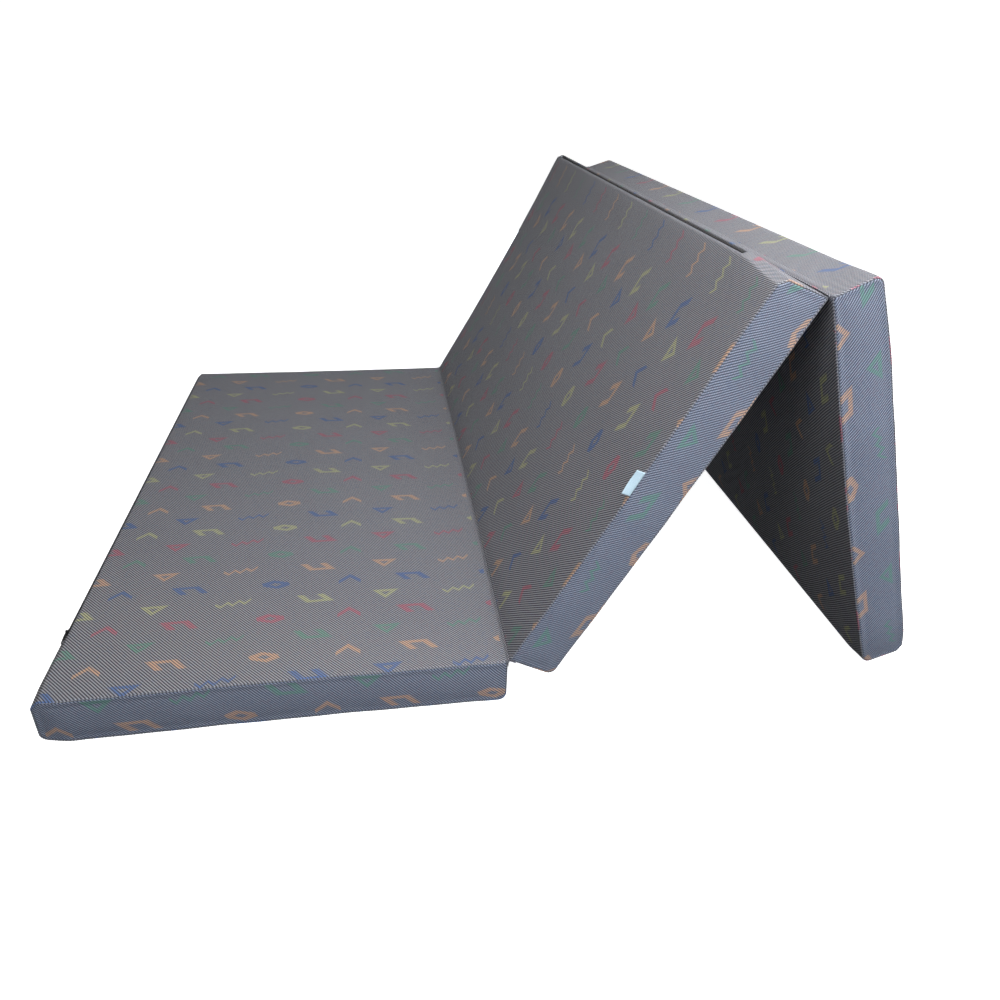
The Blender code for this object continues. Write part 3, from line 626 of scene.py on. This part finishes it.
def bar_tack(name, number, section, level, thread):
    """A cross of satin stitches over the roll's end: two bundles, each a helix round a straight core."""
    reach = 0.0040
    turns = 11
    sign = 1 if name == "far" else -1
    t = np.linspace(0, 2 * np.pi * turns, turns * 8 + 1)
    run = (t / t[-1] * 2 - 1) * reach
    swing = 0.00042 * np.cos(t)
    paths = []
    for tilt, lift in ((np.pi / 4, 0.0), (3 * np.pi / 4, 0.00012)):
        depth = 0.00046 + 0.00026 * np.sin(t) + lift
        paths.append(np.stack([run * math.cos(tilt) - swing * math.sin(tilt), sign * depth,
                               run * math.sin(tilt) + swing * math.cos(tilt)], -1))
    local = np.stack(paths) + np.array([HALF_LENGTH + FOLD_OUTSET, sign * (HALF_WIDTH + GAP), level])
    points = section.place(local * np.array([section.side, 1, 1]))
    made = tubes(f"bar_tack_{name}_{number}_thread", points, 0.00014, 5, ALONG_Y, thread)
    dress(made, section.body, f"bar_tack_{name}_{number}")


def sewn_label(section, satin):
    """The bare label: a folded ribbon, sewn into the seam, that stands up beside the sleeping side.

    Its middle line leaves the seam at 45 degrees and turns to 10 degrees off upright; the two layers lie
    0.6 mm to each side of it, and the fold on top is a half circle.
    """
    middle = 0.00325
    length = 0.038
    half_gap = 0.0006
    step = 0.0163 / 15
    seam_in = 0.00146
    angle = math.radians(135) - math.radians(35) * smooth_step(np.linspace(0, 1, 16) * 2.6)
    line = np.array([-HALF_WIDTH + seam_in, PAD_HEIGHT - seam_in]) + np.concatenate(
        [[(0, 0)], np.cumsum(np.stack([np.cos(angle[1:]), np.sin(angle[1:])], -1) * step, axis=0)])
    line += np.array([-1, 1]) * 0.0004 * ROOT_HALF
    across = np.stack([np.sin(angle), -np.cos(angle)], -1) * half_gap
    top = angle[-1] + np.pi / 2 - np.linspace(0, np.pi, 9)[1:-1]
    loop = line[-1] + half_gap * np.stack([np.cos(top), np.sin(top)], -1)
    profile = np.concatenate([line - across, loop, (line + across)[::-1]])
    x = np.linspace(middle - length / 2, middle + length / 2, 24)
    seam = pad_shape(section, x, -HALF_WIDTH, PAD_HEIGHT)
    height = np.clip((profile[:, 1:] - PAD_HEIGHT) / 0.014, 0, 1)
    curl = (0.0007 * np.sin(x[None, :] * 130 + 0.9) - 0.0004) * height ** 2
    local = spread(x, profile[:, :1] + (seam[:, 1] + HALF_WIDTH) + curl,
                   profile[:, 1:] + (seam[:, 2] - PAD_HEIGHT))
    uv = spread(x - middle, lengths_along(profile)[:, None])
    made = grid_piece("satin_label", section.place(local), uv, satin)
    give_wall(made, "satin", 0.0003)
    dress(made, section.body, "sewn_label")


# Materials


def woven_ticking(name, dark, light, tints):
    """Jacquard ticking: polyester and cotton, woven with a steep twill and small motifs in rows.

    The twill shows as light diagonal lines 3.4 mm apart on a charcoal ground, and the motifs are woven
    into those lines. The eye sees a matte cloth with a faint sheen at grazing angles. The cloth's UV map is
    in metres, U along the rows.
    """
    material, tree, shader = new_material(name)
    cloth = put(tree, "UVMap", uv_map="cloth")
    place = put(tree, "TexCoord").outputs["Object"]
    wobble = put(tree, "TexNoise", sockets={"Vector": place, "Scale": 22.0, "Detail": 1.0}).outputs["Color"]
    centred = put(tree, "VectorMath", wobble, (0.5, 0.5, 0.5), operation="SUBTRACT")
    small = put(tree, "VectorMath", centred, operation="SCALE", sockets={"Scale": 0.0016})
    moved = put(tree, "VectorMath", cloth, small, operation="ADD")
    in_mm = put(tree, "VectorMath", moved, operation="SCALE", sockets={"Scale": 1000.0})
    u, v, _ = put(tree, "SeparateXYZ", in_mm).outputs

    # Twill: the phase grows by one per line, 307 lines in the 1440 mm round a section
    line_u = put(tree, "Math", u, 307 / 1440, operation="MULTIPLY")
    phase = put(tree, "Math", v, 0.2015, line_u, operation="MULTIPLY_ADD")
    wave = put(tree, "Math", phase, 0.5, operation="PINGPONG")
    yarn = put(tree, "MapRange", wave, 0.17, 0.36, 0.0, 1.0, interpolation_type="SMOOTHSTEP")
    # Floats: each light line is a row of floats 2.1 mm long, stepped from one line to the next
    line = put(tree, "Math", phase, operation="FLOOR")
    step = put(tree, "Math", line, 0.37, operation="MULTIPLY")
    along_u = put(tree, "Math", u, 0.328, step, operation="MULTIPLY_ADD")
    along = put(tree, "Math", v, -0.345, along_u, operation="MULTIPLY_ADD")
    bead = put(tree, "Math", along, 0.5, operation="PINGPONG")
    float_share = put(tree, "MapRange", bead, 0.03, 0.24, 0.3, 1.0)
    light_share = put(tree, "Math", yarn, float_share, operation="MULTIPLY")

    # Rows of motifs: the row's number picks its colour, and odd and even rows hold different motifs
    row = put(tree, "Math", v, 1 / ROW_PITCH, 0.5, operation="MULTIPLY_ADD")
    number = put(tree, "Math", row, operation="FLOOR")
    height = put(tree, "Math", row, number, operation="SUBTRACT")
    b = put(tree, "Math", height, ROW_PITCH, -ROW_PITCH / 2, operation="MULTIPLY_ADD")
    odd = put(tree, "Math", number, 2.0, operation="FLOORED_MODULO")
    even = put(tree, "Math", 1.0, odd, operation="SUBTRACT")
    fifth = put(tree, "Math", number, 1 / len(tints), 0.5 / len(tints), operation="MULTIPLY_ADD")
    fifth = put(tree, "Math", fifth, operation="FRACT")
    row_colour = put(tree, "ValToRGB", fifth)
    row_colour.color_ramp.interpolation = "CONSTANT"
    stops = row_colour.color_ramp.elements
    while len(stops) < len(tints):
        stops.new(0.5)
    for place_number, tint in enumerate(tints):
        stops[place_number].position = place_number / len(tints)
        stops[place_number].color = linear(tint)

    height_abs = put(tree, "Math", b, operation="ABSOLUTE")
    b_under = put(tree, "Math", b, -1.0, operation="MULTIPLY")
    motif = 0.0
    for kind, centre, parity in (
        ("chevron", -265.0, even), ("staple", -160.0, even), ("lozenge", -25.0, even),
        ("triangle", -207.0, odd), ("zigzag", -87.0, odd), ("hook", 40.0, odd),
    ):
        stroke_half = 2.3
        shifted = put(tree, "Math", u, centre, operation="SUBTRACT")
        a = put(tree, "Math", shifted, MOTIF_REPEAT / 2, -MOTIF_REPEAT / 2, operation="WRAP")
        limit = a_abs = put(tree, "Math", a, operation="ABSOLUTE")
        reach = 40.0
        heavy = None
        if kind == "chevron":
            # b + 0.85 |a| = 9, out to 18 mm each way
            rise = put(tree, "Math", a_abs, 0.85, b, operation="MULTIPLY_ADD")
            field = put(tree, "Math", rise, -9.0, operation="ADD")
            field = put(tree, "Math", field, 0.66, operation="MULTIPLY")
            reach = 18.0
        elif kind == "lozenge":
            # 0.42 |slanted a| + |b| = 8, a little heavier towards its blunt ends
            slanted = put(tree, "Math", b, 0.4, a, operation="MULTIPLY_ADD")
            limit = put(tree, "Math", slanted, operation="ABSOLUTE")
            field = put(tree, "Math", limit, 0.42, height_abs, operation="MULTIPLY_ADD")
            field = put(tree, "Math", field, -8.0, operation="ADD")
            field = put(tree, "Math", field, 0.85, operation="MULTIPLY")
            heavy = put(tree, "Math", limit, 0.06, operation="MULTIPLY")
            reach = 21.0
        elif kind == "triangle":
            # The larger of b - 7 and 0.72 (|a| - b - 8), zero on a triangle that stands on its tip
            side = put(tree, "Math", a_abs, b, operation="SUBTRACT")
            side = put(tree, "Math", side, 0.72, -5.8, operation="MULTIPLY_ADD")
            roof = put(tree, "Math", b, -7.0, operation="ADD")
            field = put(tree, "Math", side, roof, operation="MAXIMUM")
        elif kind == "zigzag":
            # b - 0.16 a follows a triangle wave of 18 mm and 9 mm height
            tooth = put(tree, "Math", a, 9.0, operation="PINGPONG")
            lean = put(tree, "Math", a, -0.16, b, operation="MULTIPLY_ADD")
            field = put(tree, "Math", tooth, -1.0, lean, operation="MULTIPLY_ADD")
            field = put(tree, "Math", field, 4.5, operation="ADD")
            field = put(tree, "Math", field, 0.7, operation="MULTIPLY")
            reach = 27.0
            stroke_half = 1.4
        else:
            # The larger of half of |slanted a| - 16 and of b - 8, cut off below: a staple, or upside down
            # a hook
            level = b if kind == "staple" else b_under
            slanted = put(tree, "Math", b, 0.85, a, operation="MULTIPLY_ADD")
            slanted = put(tree, "Math", slanted, operation="ABSOLUTE")
            leg = put(tree, "Math", slanted, 0.5, -8.0, operation="MULTIPLY_ADD")
            roof = put(tree, "Math", level, -8.0, operation="ADD")
            field = put(tree, "Math", leg, roof, operation="MAXIMUM")
            limit = put(tree, "Math", level, -1.0, operation="MULTIPLY")
            reach = 9.0
        stroke = put(tree, "Math", field, operation="ABSOLUTE")
        if heavy:
            stroke = put(tree, "Math", stroke, heavy, operation="SUBTRACT")
        inked = put(tree, "MapRange", stroke, stroke_half - 0.5, stroke_half + 1.5, 1.0, 0.0)
        inside = put(tree, "Math", limit, reach, operation="LESS_THAN")
        inked = put(tree, "Math", inked, inside, operation="MULTIPLY")
        mask = put(tree, "Math", inked, parity, operation="MULTIPLY")
        motif = put(tree, "Math", motif, mask, operation="MAXIMUM") if motif else mask

    # Yarn colours: the light yarn drifts between grey, blue and rose from float to float
    drift = put(tree, "TexNoise", sockets={"Vector": place, "Scale": 260.0, "Detail": 2.0})
    light_yarn = put(tree, "ValToRGB", drift)
    ramp = light_yarn.color_ramp.elements
    ramp.new(0.5)
    for stop, position, colour in zip(ramp, (0.34, 0.5, 0.66), light):
        stop.position = position
        stop.color = linear(colour)
    dye = put(tree, "TexNoise", sockets={"Vector": place, "Scale": 5.0, "Detail": 3.0})
    ground = put(tree, "Mix", data_type="RGBA", sockets={0: dye, 6: dark[0], 7: dark[1]})
    plain = put(tree, "Mix", data_type="RGBA", sockets={0: light_share, 6: ground, 7: light_yarn})
    shown = put(tree, "MapRange", light_share, 0.0, 1.0, 0.14, 0.9)
    dyed = put(tree, "Math", motif, shown, operation="MULTIPLY")
    colour = put(tree, "Mix", data_type="RGBA", sockets={0: dyed, 6: plain, 7: row_colour})

    # Relief: twill ridges, and puckers 7 mm apart that fade within 12 mm of a seam
    seam = put(tree, "Attribute", attribute_name="seam_mm").outputs["Fac"]
    near_seam = put(tree, "MapRange", seam, 2.0, 14.0, 1.0, 0.0, interpolation_type="SMOOTHSTEP")
    crumple = put(tree, "TexNoise", sockets={"Vector": place, "Scale": 85.0, "Detail": 1.0})
    pucker = put(tree, "Math", crumple, near_seam, operation="MULTIPLY")
    drape = put(tree, "TexNoise", sockets={"Vector": place, "Scale": 9.0, "Detail": 2.0})
    relief = put(tree, "Bump", sockets={"Strength": 1.0, "Distance": 0.0022, "Height": drape})
    for strength, distance, level in ((1.0, 0.0016, pucker), (0.8, 0.00022, light_share)):
        relief = put(tree, "Bump", sockets={"Strength": strength, "Distance": distance, "Height": level,
                                            "Normal": relief})
    fill(shader, {"Base Color": colour, "Normal": relief, "Roughness": 0.88, "Specular IOR Level": 0.22,
                  "Sheen Weight": 0.05, "Sheen Roughness": 0.5})
    return material


def open_cell_foam():
    """Cut polyurethane foam: cream, matte, with pores of about a millimetre."""
    material, tree, shader = new_material("open_cell_foam")
    place = put(tree, "TexCoord").outputs["Object"]
    pores = put(tree, "TexVoronoi", sockets={"Vector": place, "Scale": 900.0})
    blotch = put(tree, "TexNoise", sockets={"Vector": place, "Scale": 14.0})
    tone = put(tree, "Mix", data_type="RGBA", sockets={0: blotch, 6: "#e9dcb0", 7: "#dccb95"})
    shade = put(tree, "MapRange", pores, 0.0, 0.5, 0.0, 0.35)
    colour = put(tree, "Mix", data_type="RGBA", sockets={0: shade, 6: tone, 7: "#a8935c"})
    relief = put(tree, "Bump", sockets={"Strength": 0.7, "Distance": 0.0005, "Height": pores})
    fill(shader, {"Base Color": colour, "Normal": relief, "Roughness": 0.95})
    return material


def zip_tape_weave():
    """Polyester zip tape: black, woven in a fine herringbone with ribs 0.8 mm apart."""
    material, tree, shader = new_material("woven_zip_tape")
    cloth = put(tree, "UVMap", uv_map="cloth")
    ribs = put(tree, "TexWave", bands_direction="DIAGONAL",
               sockets={"Vector": cloth, "Scale": 200.0, "Distortion": 0.4}).outputs["Fac"]
    colour = put(tree, "Mix", data_type="RGBA", sockets={0: ribs, 6: "#1c1c20", 7: "#35353b"})
    relief = put(tree, "Bump", sockets={"Strength": 0.8, "Distance": 0.0002, "Height": ribs})
    fill(shader, {"Base Color": colour, "Normal": relief, "Roughness": 0.85})
    return material


def coil_nylon():
    """Monofilament of the coil: black nylon, smooth from the die, with a soft highlight on each turn."""
    material, tree, shader = new_material("black_coil_nylon")
    place = put(tree, "TexCoord").outputs["Object"]
    haze = put(tree, "TexNoise", sockets={"Vector": place, "Scale": 60.0, "Detail": 3.0})
    colour = put(tree, "Mix", data_type="RGBA", sockets={0: haze, 6: "#0b0b0d", 7: "#1c1c20"})
    rough = put(tree, "MapRange", haze, 0.3, 0.7, 0.32, 0.46)
    fill(shader, {"Base Color": colour, "Roughness": rough, "IOR": 1.53})
    return material


def spun_thread(name, shadow, lit):
    """Twisted polyester thread: two plies whose twist of 0.9 mm shows as slanting light and dark."""
    material, tree, shader = new_material(name)
    place = put(tree, "TexCoord").outputs["Object"]
    twist = put(tree, "TexWave", bands_direction="DIAGONAL",
                sockets={"Vector": place, "Scale": 350.0, "Distortion": 2.0}).outputs["Fac"]
    colour = put(tree, "Mix", data_type="RGBA", sockets={0: twist, 6: shadow, 7: lit})
    relief = put(tree, "Bump", sockets={"Strength": 0.6, "Distance": 0.00008, "Height": twist})
    fill(shader, {"Base Color": colour, "Normal": relief, "Roughness": 0.6, "Sheen Weight": 0.2})
    return material


def satin_ribbon():
    """Woven satin label: pale blue-grey polyester, fine cross ribs 0.4 mm apart and a silky gloss."""
    material, tree, shader = new_material("satin_ribbon")
    cloth = put(tree, "UVMap", uv_map="cloth")
    ribs = put(tree, "TexWave", bands_direction="Y", sockets={"Vector": cloth, "Scale": 400.0}).outputs["Fac"]
    place = put(tree, "TexCoord").outputs["Object"]
    soil = put(tree, "TexNoise", sockets={"Vector": place, "Scale": 120.0, "Detail": 3.0})
    tone = put(tree, "Mix", data_type="RGBA", sockets={0: soil, 6: "#aec6d2", 7: "#97b3c2"})
    colour = put(tree, "Mix", data_type="RGBA", sockets={0: ribs, 6: tone, 7: "#c3d5dd"})
    relief = put(tree, "Bump", sockets={"Strength": 0.5, "Distance": 0.00006, "Height": ribs})
    fill(shader, {"Base Color": colour, "Normal": relief, "Roughness": 0.42})
    return material


def slider_enamel():
    """Die-cast zinc slider in baked black enamel, with small scuffs that show the metal."""
    material, tree, shader = new_material("black_enamelled_zinc")
    place = put(tree, "TexCoord").outputs["Object"]
    scuff = put(tree, "TexNoise", sockets={"Vector": place, "Scale": 700.0, "Detail": 4.0})
    worn = put(tree, "MapRange", scuff, 0.62, 0.72, 0.0, 0.55)
    colour = put(tree, "Mix", data_type="RGBA", sockets={0: worn, 6: "#131316", 7: "#8d8d90"})
    rough = put(tree, "MapRange", scuff, 0.3, 0.7, 0.28, 0.5)
    fill(shader, {"Base Color": colour, "Metallic": worn, "Roughness": rough})
    return material


def pull_nickel():
    """Stamped steel pull with black nickel plating, brushed along the bed's width."""
    material, tree, shader = new_material("black_nickel_plate")
    place = put(tree, "TexCoord").outputs["Object"]
    stretched = put(tree, "Mapping", place, sockets={"Scale": (900.0, 90.0, 900.0)})
    brushed = put(tree, "TexNoise", sockets={"Vector": stretched, "Scale": 1.0, "Detail": 2.0})
    colour = put(tree, "Mix", data_type="RGBA", sockets={0: brushed, 6: "#4a4a4d", 7: "#6f6f72"})
    rough = put(tree, "MapRange", brushed, 0.3, 0.7, 0.22, 0.4)
    fill(shader, {"Base Color": colour, "Roughness": rough, "Metallic": 1.0})
    return material


tints = ("#c49c7b", "#5f8f7d", "#ae5c6c", "#adb080", "#41659c")
wrap_cloth = woven_ticking("jacquard_ticking", ("#36363c", "#3d3c43"),
                           ("#8b909c", "#97999c", "#948f96"), tints)
# The side strips' ticking is the wrap's with a bluer ground and bluer yarn: painted cool light, standing in
# for the cool front lamp falling on the sides.
strip_cloth_painted_cool_light = woven_ticking("jacquard_ticking_side", ("#3b404c", "#414654"),
                            ("#828b9e", "#8f97a5", "#8b8a99"), tints)
foam = open_cell_foam()
tape = zip_tape_weave()
nylon = coil_nylon()
dark_thread = spun_thread("dark_spun_thread", "#1b1c26", "#3a3d50")
grey_thread = spun_thread("grey_spun_thread", "#4a4b54", "#7a7c86")
pale_thread = spun_thread("pale_spun_thread", "#70747f", "#999da8")
satin = satin_ribbon()
enamel = slider_enamel()
nickel = pull_nickel()


# The sections in their places


def third_lean():
    """How steeply the end section hangs, as in the frame: its rounded foot just meets the floor."""
    reach = SECTION_LENGTH + 2 * FOLD_OUTSET
    thick = PAD_HEIGHT + 2 * FOLD_RISE
    ridge = PAD_HEIGHT + FOLD_RISE + reach * math.sin(MIDDLE_LEAN) - thick * math.cos(MIDDLE_LEAN)
    along = SECTION_LENGTH + FOLD_OUTSET - CORNER_RADIUS
    across = CORNER_RADIUS + FOLD_RISE
    rise = ridge - CORNER_RADIUS + FOOT_FLAT_DEPTH
    return math.asin(rise / math.hypot(along, across)) + math.atan2(across, along)


joints = {joint["name"]: joint for joint in frame["record"]["behaviour"]["joints"]}
first_axis = joints["fold_1"]["pos_m"]
second_axis = joints["fold_2"]["pos_m"]
end_lean = third_lean()

floor_section = Section(
    1, "floor_section", (CORNER_RADIUS, CORNER_RADIUS, FOLD_EDGE_RADIUS), side=-1, under_crown=0.0, sag=0.0,
    zip_near=-0.454, eases=[(1, 0.05, 0.05, 0.002, 0.002, 0.003, 0.005, 0.001)],
    pattern=(0, 547), strip_pattern=(32, -18))
floor_section.under_wave = 0.0
middle_section = Section(
    2, "middle_section", (CORNER_RADIUS, FOLD_EDGE_RADIUS, FOLD_EDGE_RADIUS), side=1,
    under_crown=UNDER_CROWN, sag=MIDDLE_SAG, zip_near=-0.483,
    eases=[(1, 0.10, 0.11, 0.0, 0.009, 0.001, 0.0, 0.003)],
    pattern=(-8, 604.5), strip_pattern=(63, -5))
middle_section.hang(PAD_HEIGHT + FOLD_RISE, first_axis, MIDDLE_LEAN)
end_section = Section(
    3, "end_section", (FOLD_EDGE_RADIUS, CORNER_RADIUS, SOFT_END_RADIUS), side=1,
    under_crown=UNDER_CROWN, sag=END_SAG, zip_near=-0.472,
    eases=[(-1, 0.12, 0.12, 0.0, -0.0085, 0.0, 0.0, 0.007),
           (1, 0.05, 0.05, 0.003, 0.003, 0.003, 0.003, 0.003)],
    pattern=(20, 477), strip_pattern=(5, -7))
end_section.belly = END_BELLY
end_section.foot = True
end_section.hang(-FOLD_RISE, second_axis, -end_lean)

for section in (floor_section, middle_section, end_section):
    ticking_wrap(section, wrap_cloth)
    for name in ("near", "far"):
        ticking_strip(section, name, strip_cloth_painted_cool_light)
    foam_core(section, foam)
    for name in ("upper", "lower"):
        zip_coil(section, name, nylon)
        zip_tape(section, name, tape)
    zip_stitching(section, grey_thread)
    seam_stitching(section, pale_thread)
    for node, finish in (("zip_slider", enamel), ("zip_pull", nickel)):
        slots = frame["nodes"][f"{node}_{section.number}"].data.materials
        slots.clear()
        slots.append(finish)

sin_2, cos_2 = math.sin(MIDDLE_LEAN), math.cos(MIDDLE_LEAN)
sin_3, cos_3 = math.sin(end_lean), math.cos(end_lean)
fold_roll(1, first_axis, ((0, -1), (-1, 0)), ((sin_2, -cos_2), (cos_2, sin_2)),
          wrap_cloth)
fold_roll(2, second_axis, ((-sin_2, cos_2), (-cos_2, -sin_2)), ((sin_3, cos_3), (cos_3, -sin_3)),
          wrap_cloth)
for number, section, level in ((1, floor_section, PAD_HEIGHT + FOLD_RISE), (2, middle_section, -FOLD_RISE)):
    for name in ("near", "far"):
        bar_tack(name, number, section, level, dark_thread)
sewn_label(middle_section, satin)


# Floor, light and camera


def studio():
    """A white bowl of a backdrop, a dim sky, soft boxes, and the photograph's camera.

    The bowl is turned about the Z axis: a flat disc of radius r0, closed at its middle, then
    (r, z) = (r0 + c sin a, c - c cos a), then a wall. It glows, so that it looks white, and it throws no
    light back on the mattress.
    """
    bend = np.linspace(0, np.pi / 2, 16)
    r = np.concatenate([[0.0, 0.6, 1.2, 2.0, 3.0, 4.5], 6.0 + 3.0 * np.sin(bend), [9.0, 9.0]])[:, None]
    z = np.concatenate([np.zeros(6), 3.0 - 3.0 * np.cos(bend), [7.0, 12.0]])[:, None] - 0.0006
    angle = np.linspace(0, 2 * np.pi, 97)[:-1]
    points = spread(0.4 + r * np.cos(angle), r * np.sin(angle), z)
    material, tree, shader = new_material("white_backdrop")
    place = put(tree, "TexCoord").outputs["Object"]
    paper = put(tree, "TexNoise", sockets={"Vector": place, "Scale": 3.0})
    tone = put(tree, "Mix", data_type="RGBA", sockets={0: paper, 6: "#f6f6f6", 7: "#f9f9f9"})
    fill(shader, {"Base Color": tone, "Emission Color": "#ffffff", "Emission Strength": 0.93,
                  "Roughness": 0.9, "Specular IOR Level": 0.0})
    bowl = grid_piece("studio_backdrop", points, np.zeros((len(r), len(angle) + 1, 2)), material,
                      closed=True, weld=0.001)
    bowl.visible_diffuse = False
    bowl.visible_glossy = False

    world = bpy.data.worlds.new("dim_studio")
    bpy.context.scene.world = world
    world.use_nodes = True
    sky = world.node_tree
    toward = put(sky, "TexCoord").outputs["Generated"]
    height = put(sky, "SeparateXYZ", toward).outputs[2]
    glow = put(sky, "MapRange", height, -0.15, 0.6, 0.08, 0.11, interpolation_type="SMOOTHSTEP")
    fill(sky.nodes["Background"], {0: "#ffffff", 1: glow})

    warm = (1.0, 0.99, 0.98)
    cool = (0.86, 0.92, 1.0)
    for name, place, aim, size, power, tint in (
        ("top_box", (0.95, -0.75, 1.75), (0.55, -0.1, 0.3), (0.8, 0.8), 30, warm),
        ("left_box", (-1.5, -1.0, 0.95), (0.5, -0.1, 0.4), (1.4, 1.2), 5, warm),
        ("front_box", (0.9, -2.3, 1.0), (0.7, -0.6, 0.35), (1.2, 1.0), 35, cool),
        ("high_box", (-0.3, -0.2, 1.9), (0.65, 0.0, 0.6), (0.8, 0.8), 5, warm),
        ("near_box", (0.1, -1.2, 1.2), (0.7, -0.4, 0.6), (0.6, 0.6), 7, warm),
        ("right_box", (2.0, -1.0, 1.5), (0.8, -0.3, 0.5), (0.8, 0.8), 12, warm),
        ("far_box", (0.5, 2.9, 0.2), (0.5, 0.6, 0.2), (1.4, 0.3), 22, cool),
    ):
        lamp = bpy.data.lights.new(name, "AREA")
        lamp.shape = "RECTANGLE"
        lamp.size, lamp.size_y = size
        lamp.energy = power
        lamp.color = tint
        holder = bpy.data.objects.new(name, lamp)
        bpy.context.scene.collection.objects.link(holder)
        holder.location = place
        holder.rotation_euler = (Vector(aim) - Vector(place)).to_track_quat("-Z", "Y").to_euler()

    lens = bpy.data.cameras.new("photograph_camera")
    lens.sensor_width = 36.0
    lens.lens = 27.451
    lens.shift_x = -0.0079
    lens.shift_y = -0.0426
    lens.clip_start = 0.01
    camera = bpy.data.objects.new("photograph_camera", lens)
    camera.location = (0.1586, -1.4311, 0.8556)
    camera.rotation_euler = [math.radians(a) for a in (62.3674, -1.9848, -9.4356)]
    bpy.context.scene.collection.objects.link(camera)
    bpy.context.scene.camera = camera
    bpy.context.scene.view_settings.view_transform = "Standard"


studio()
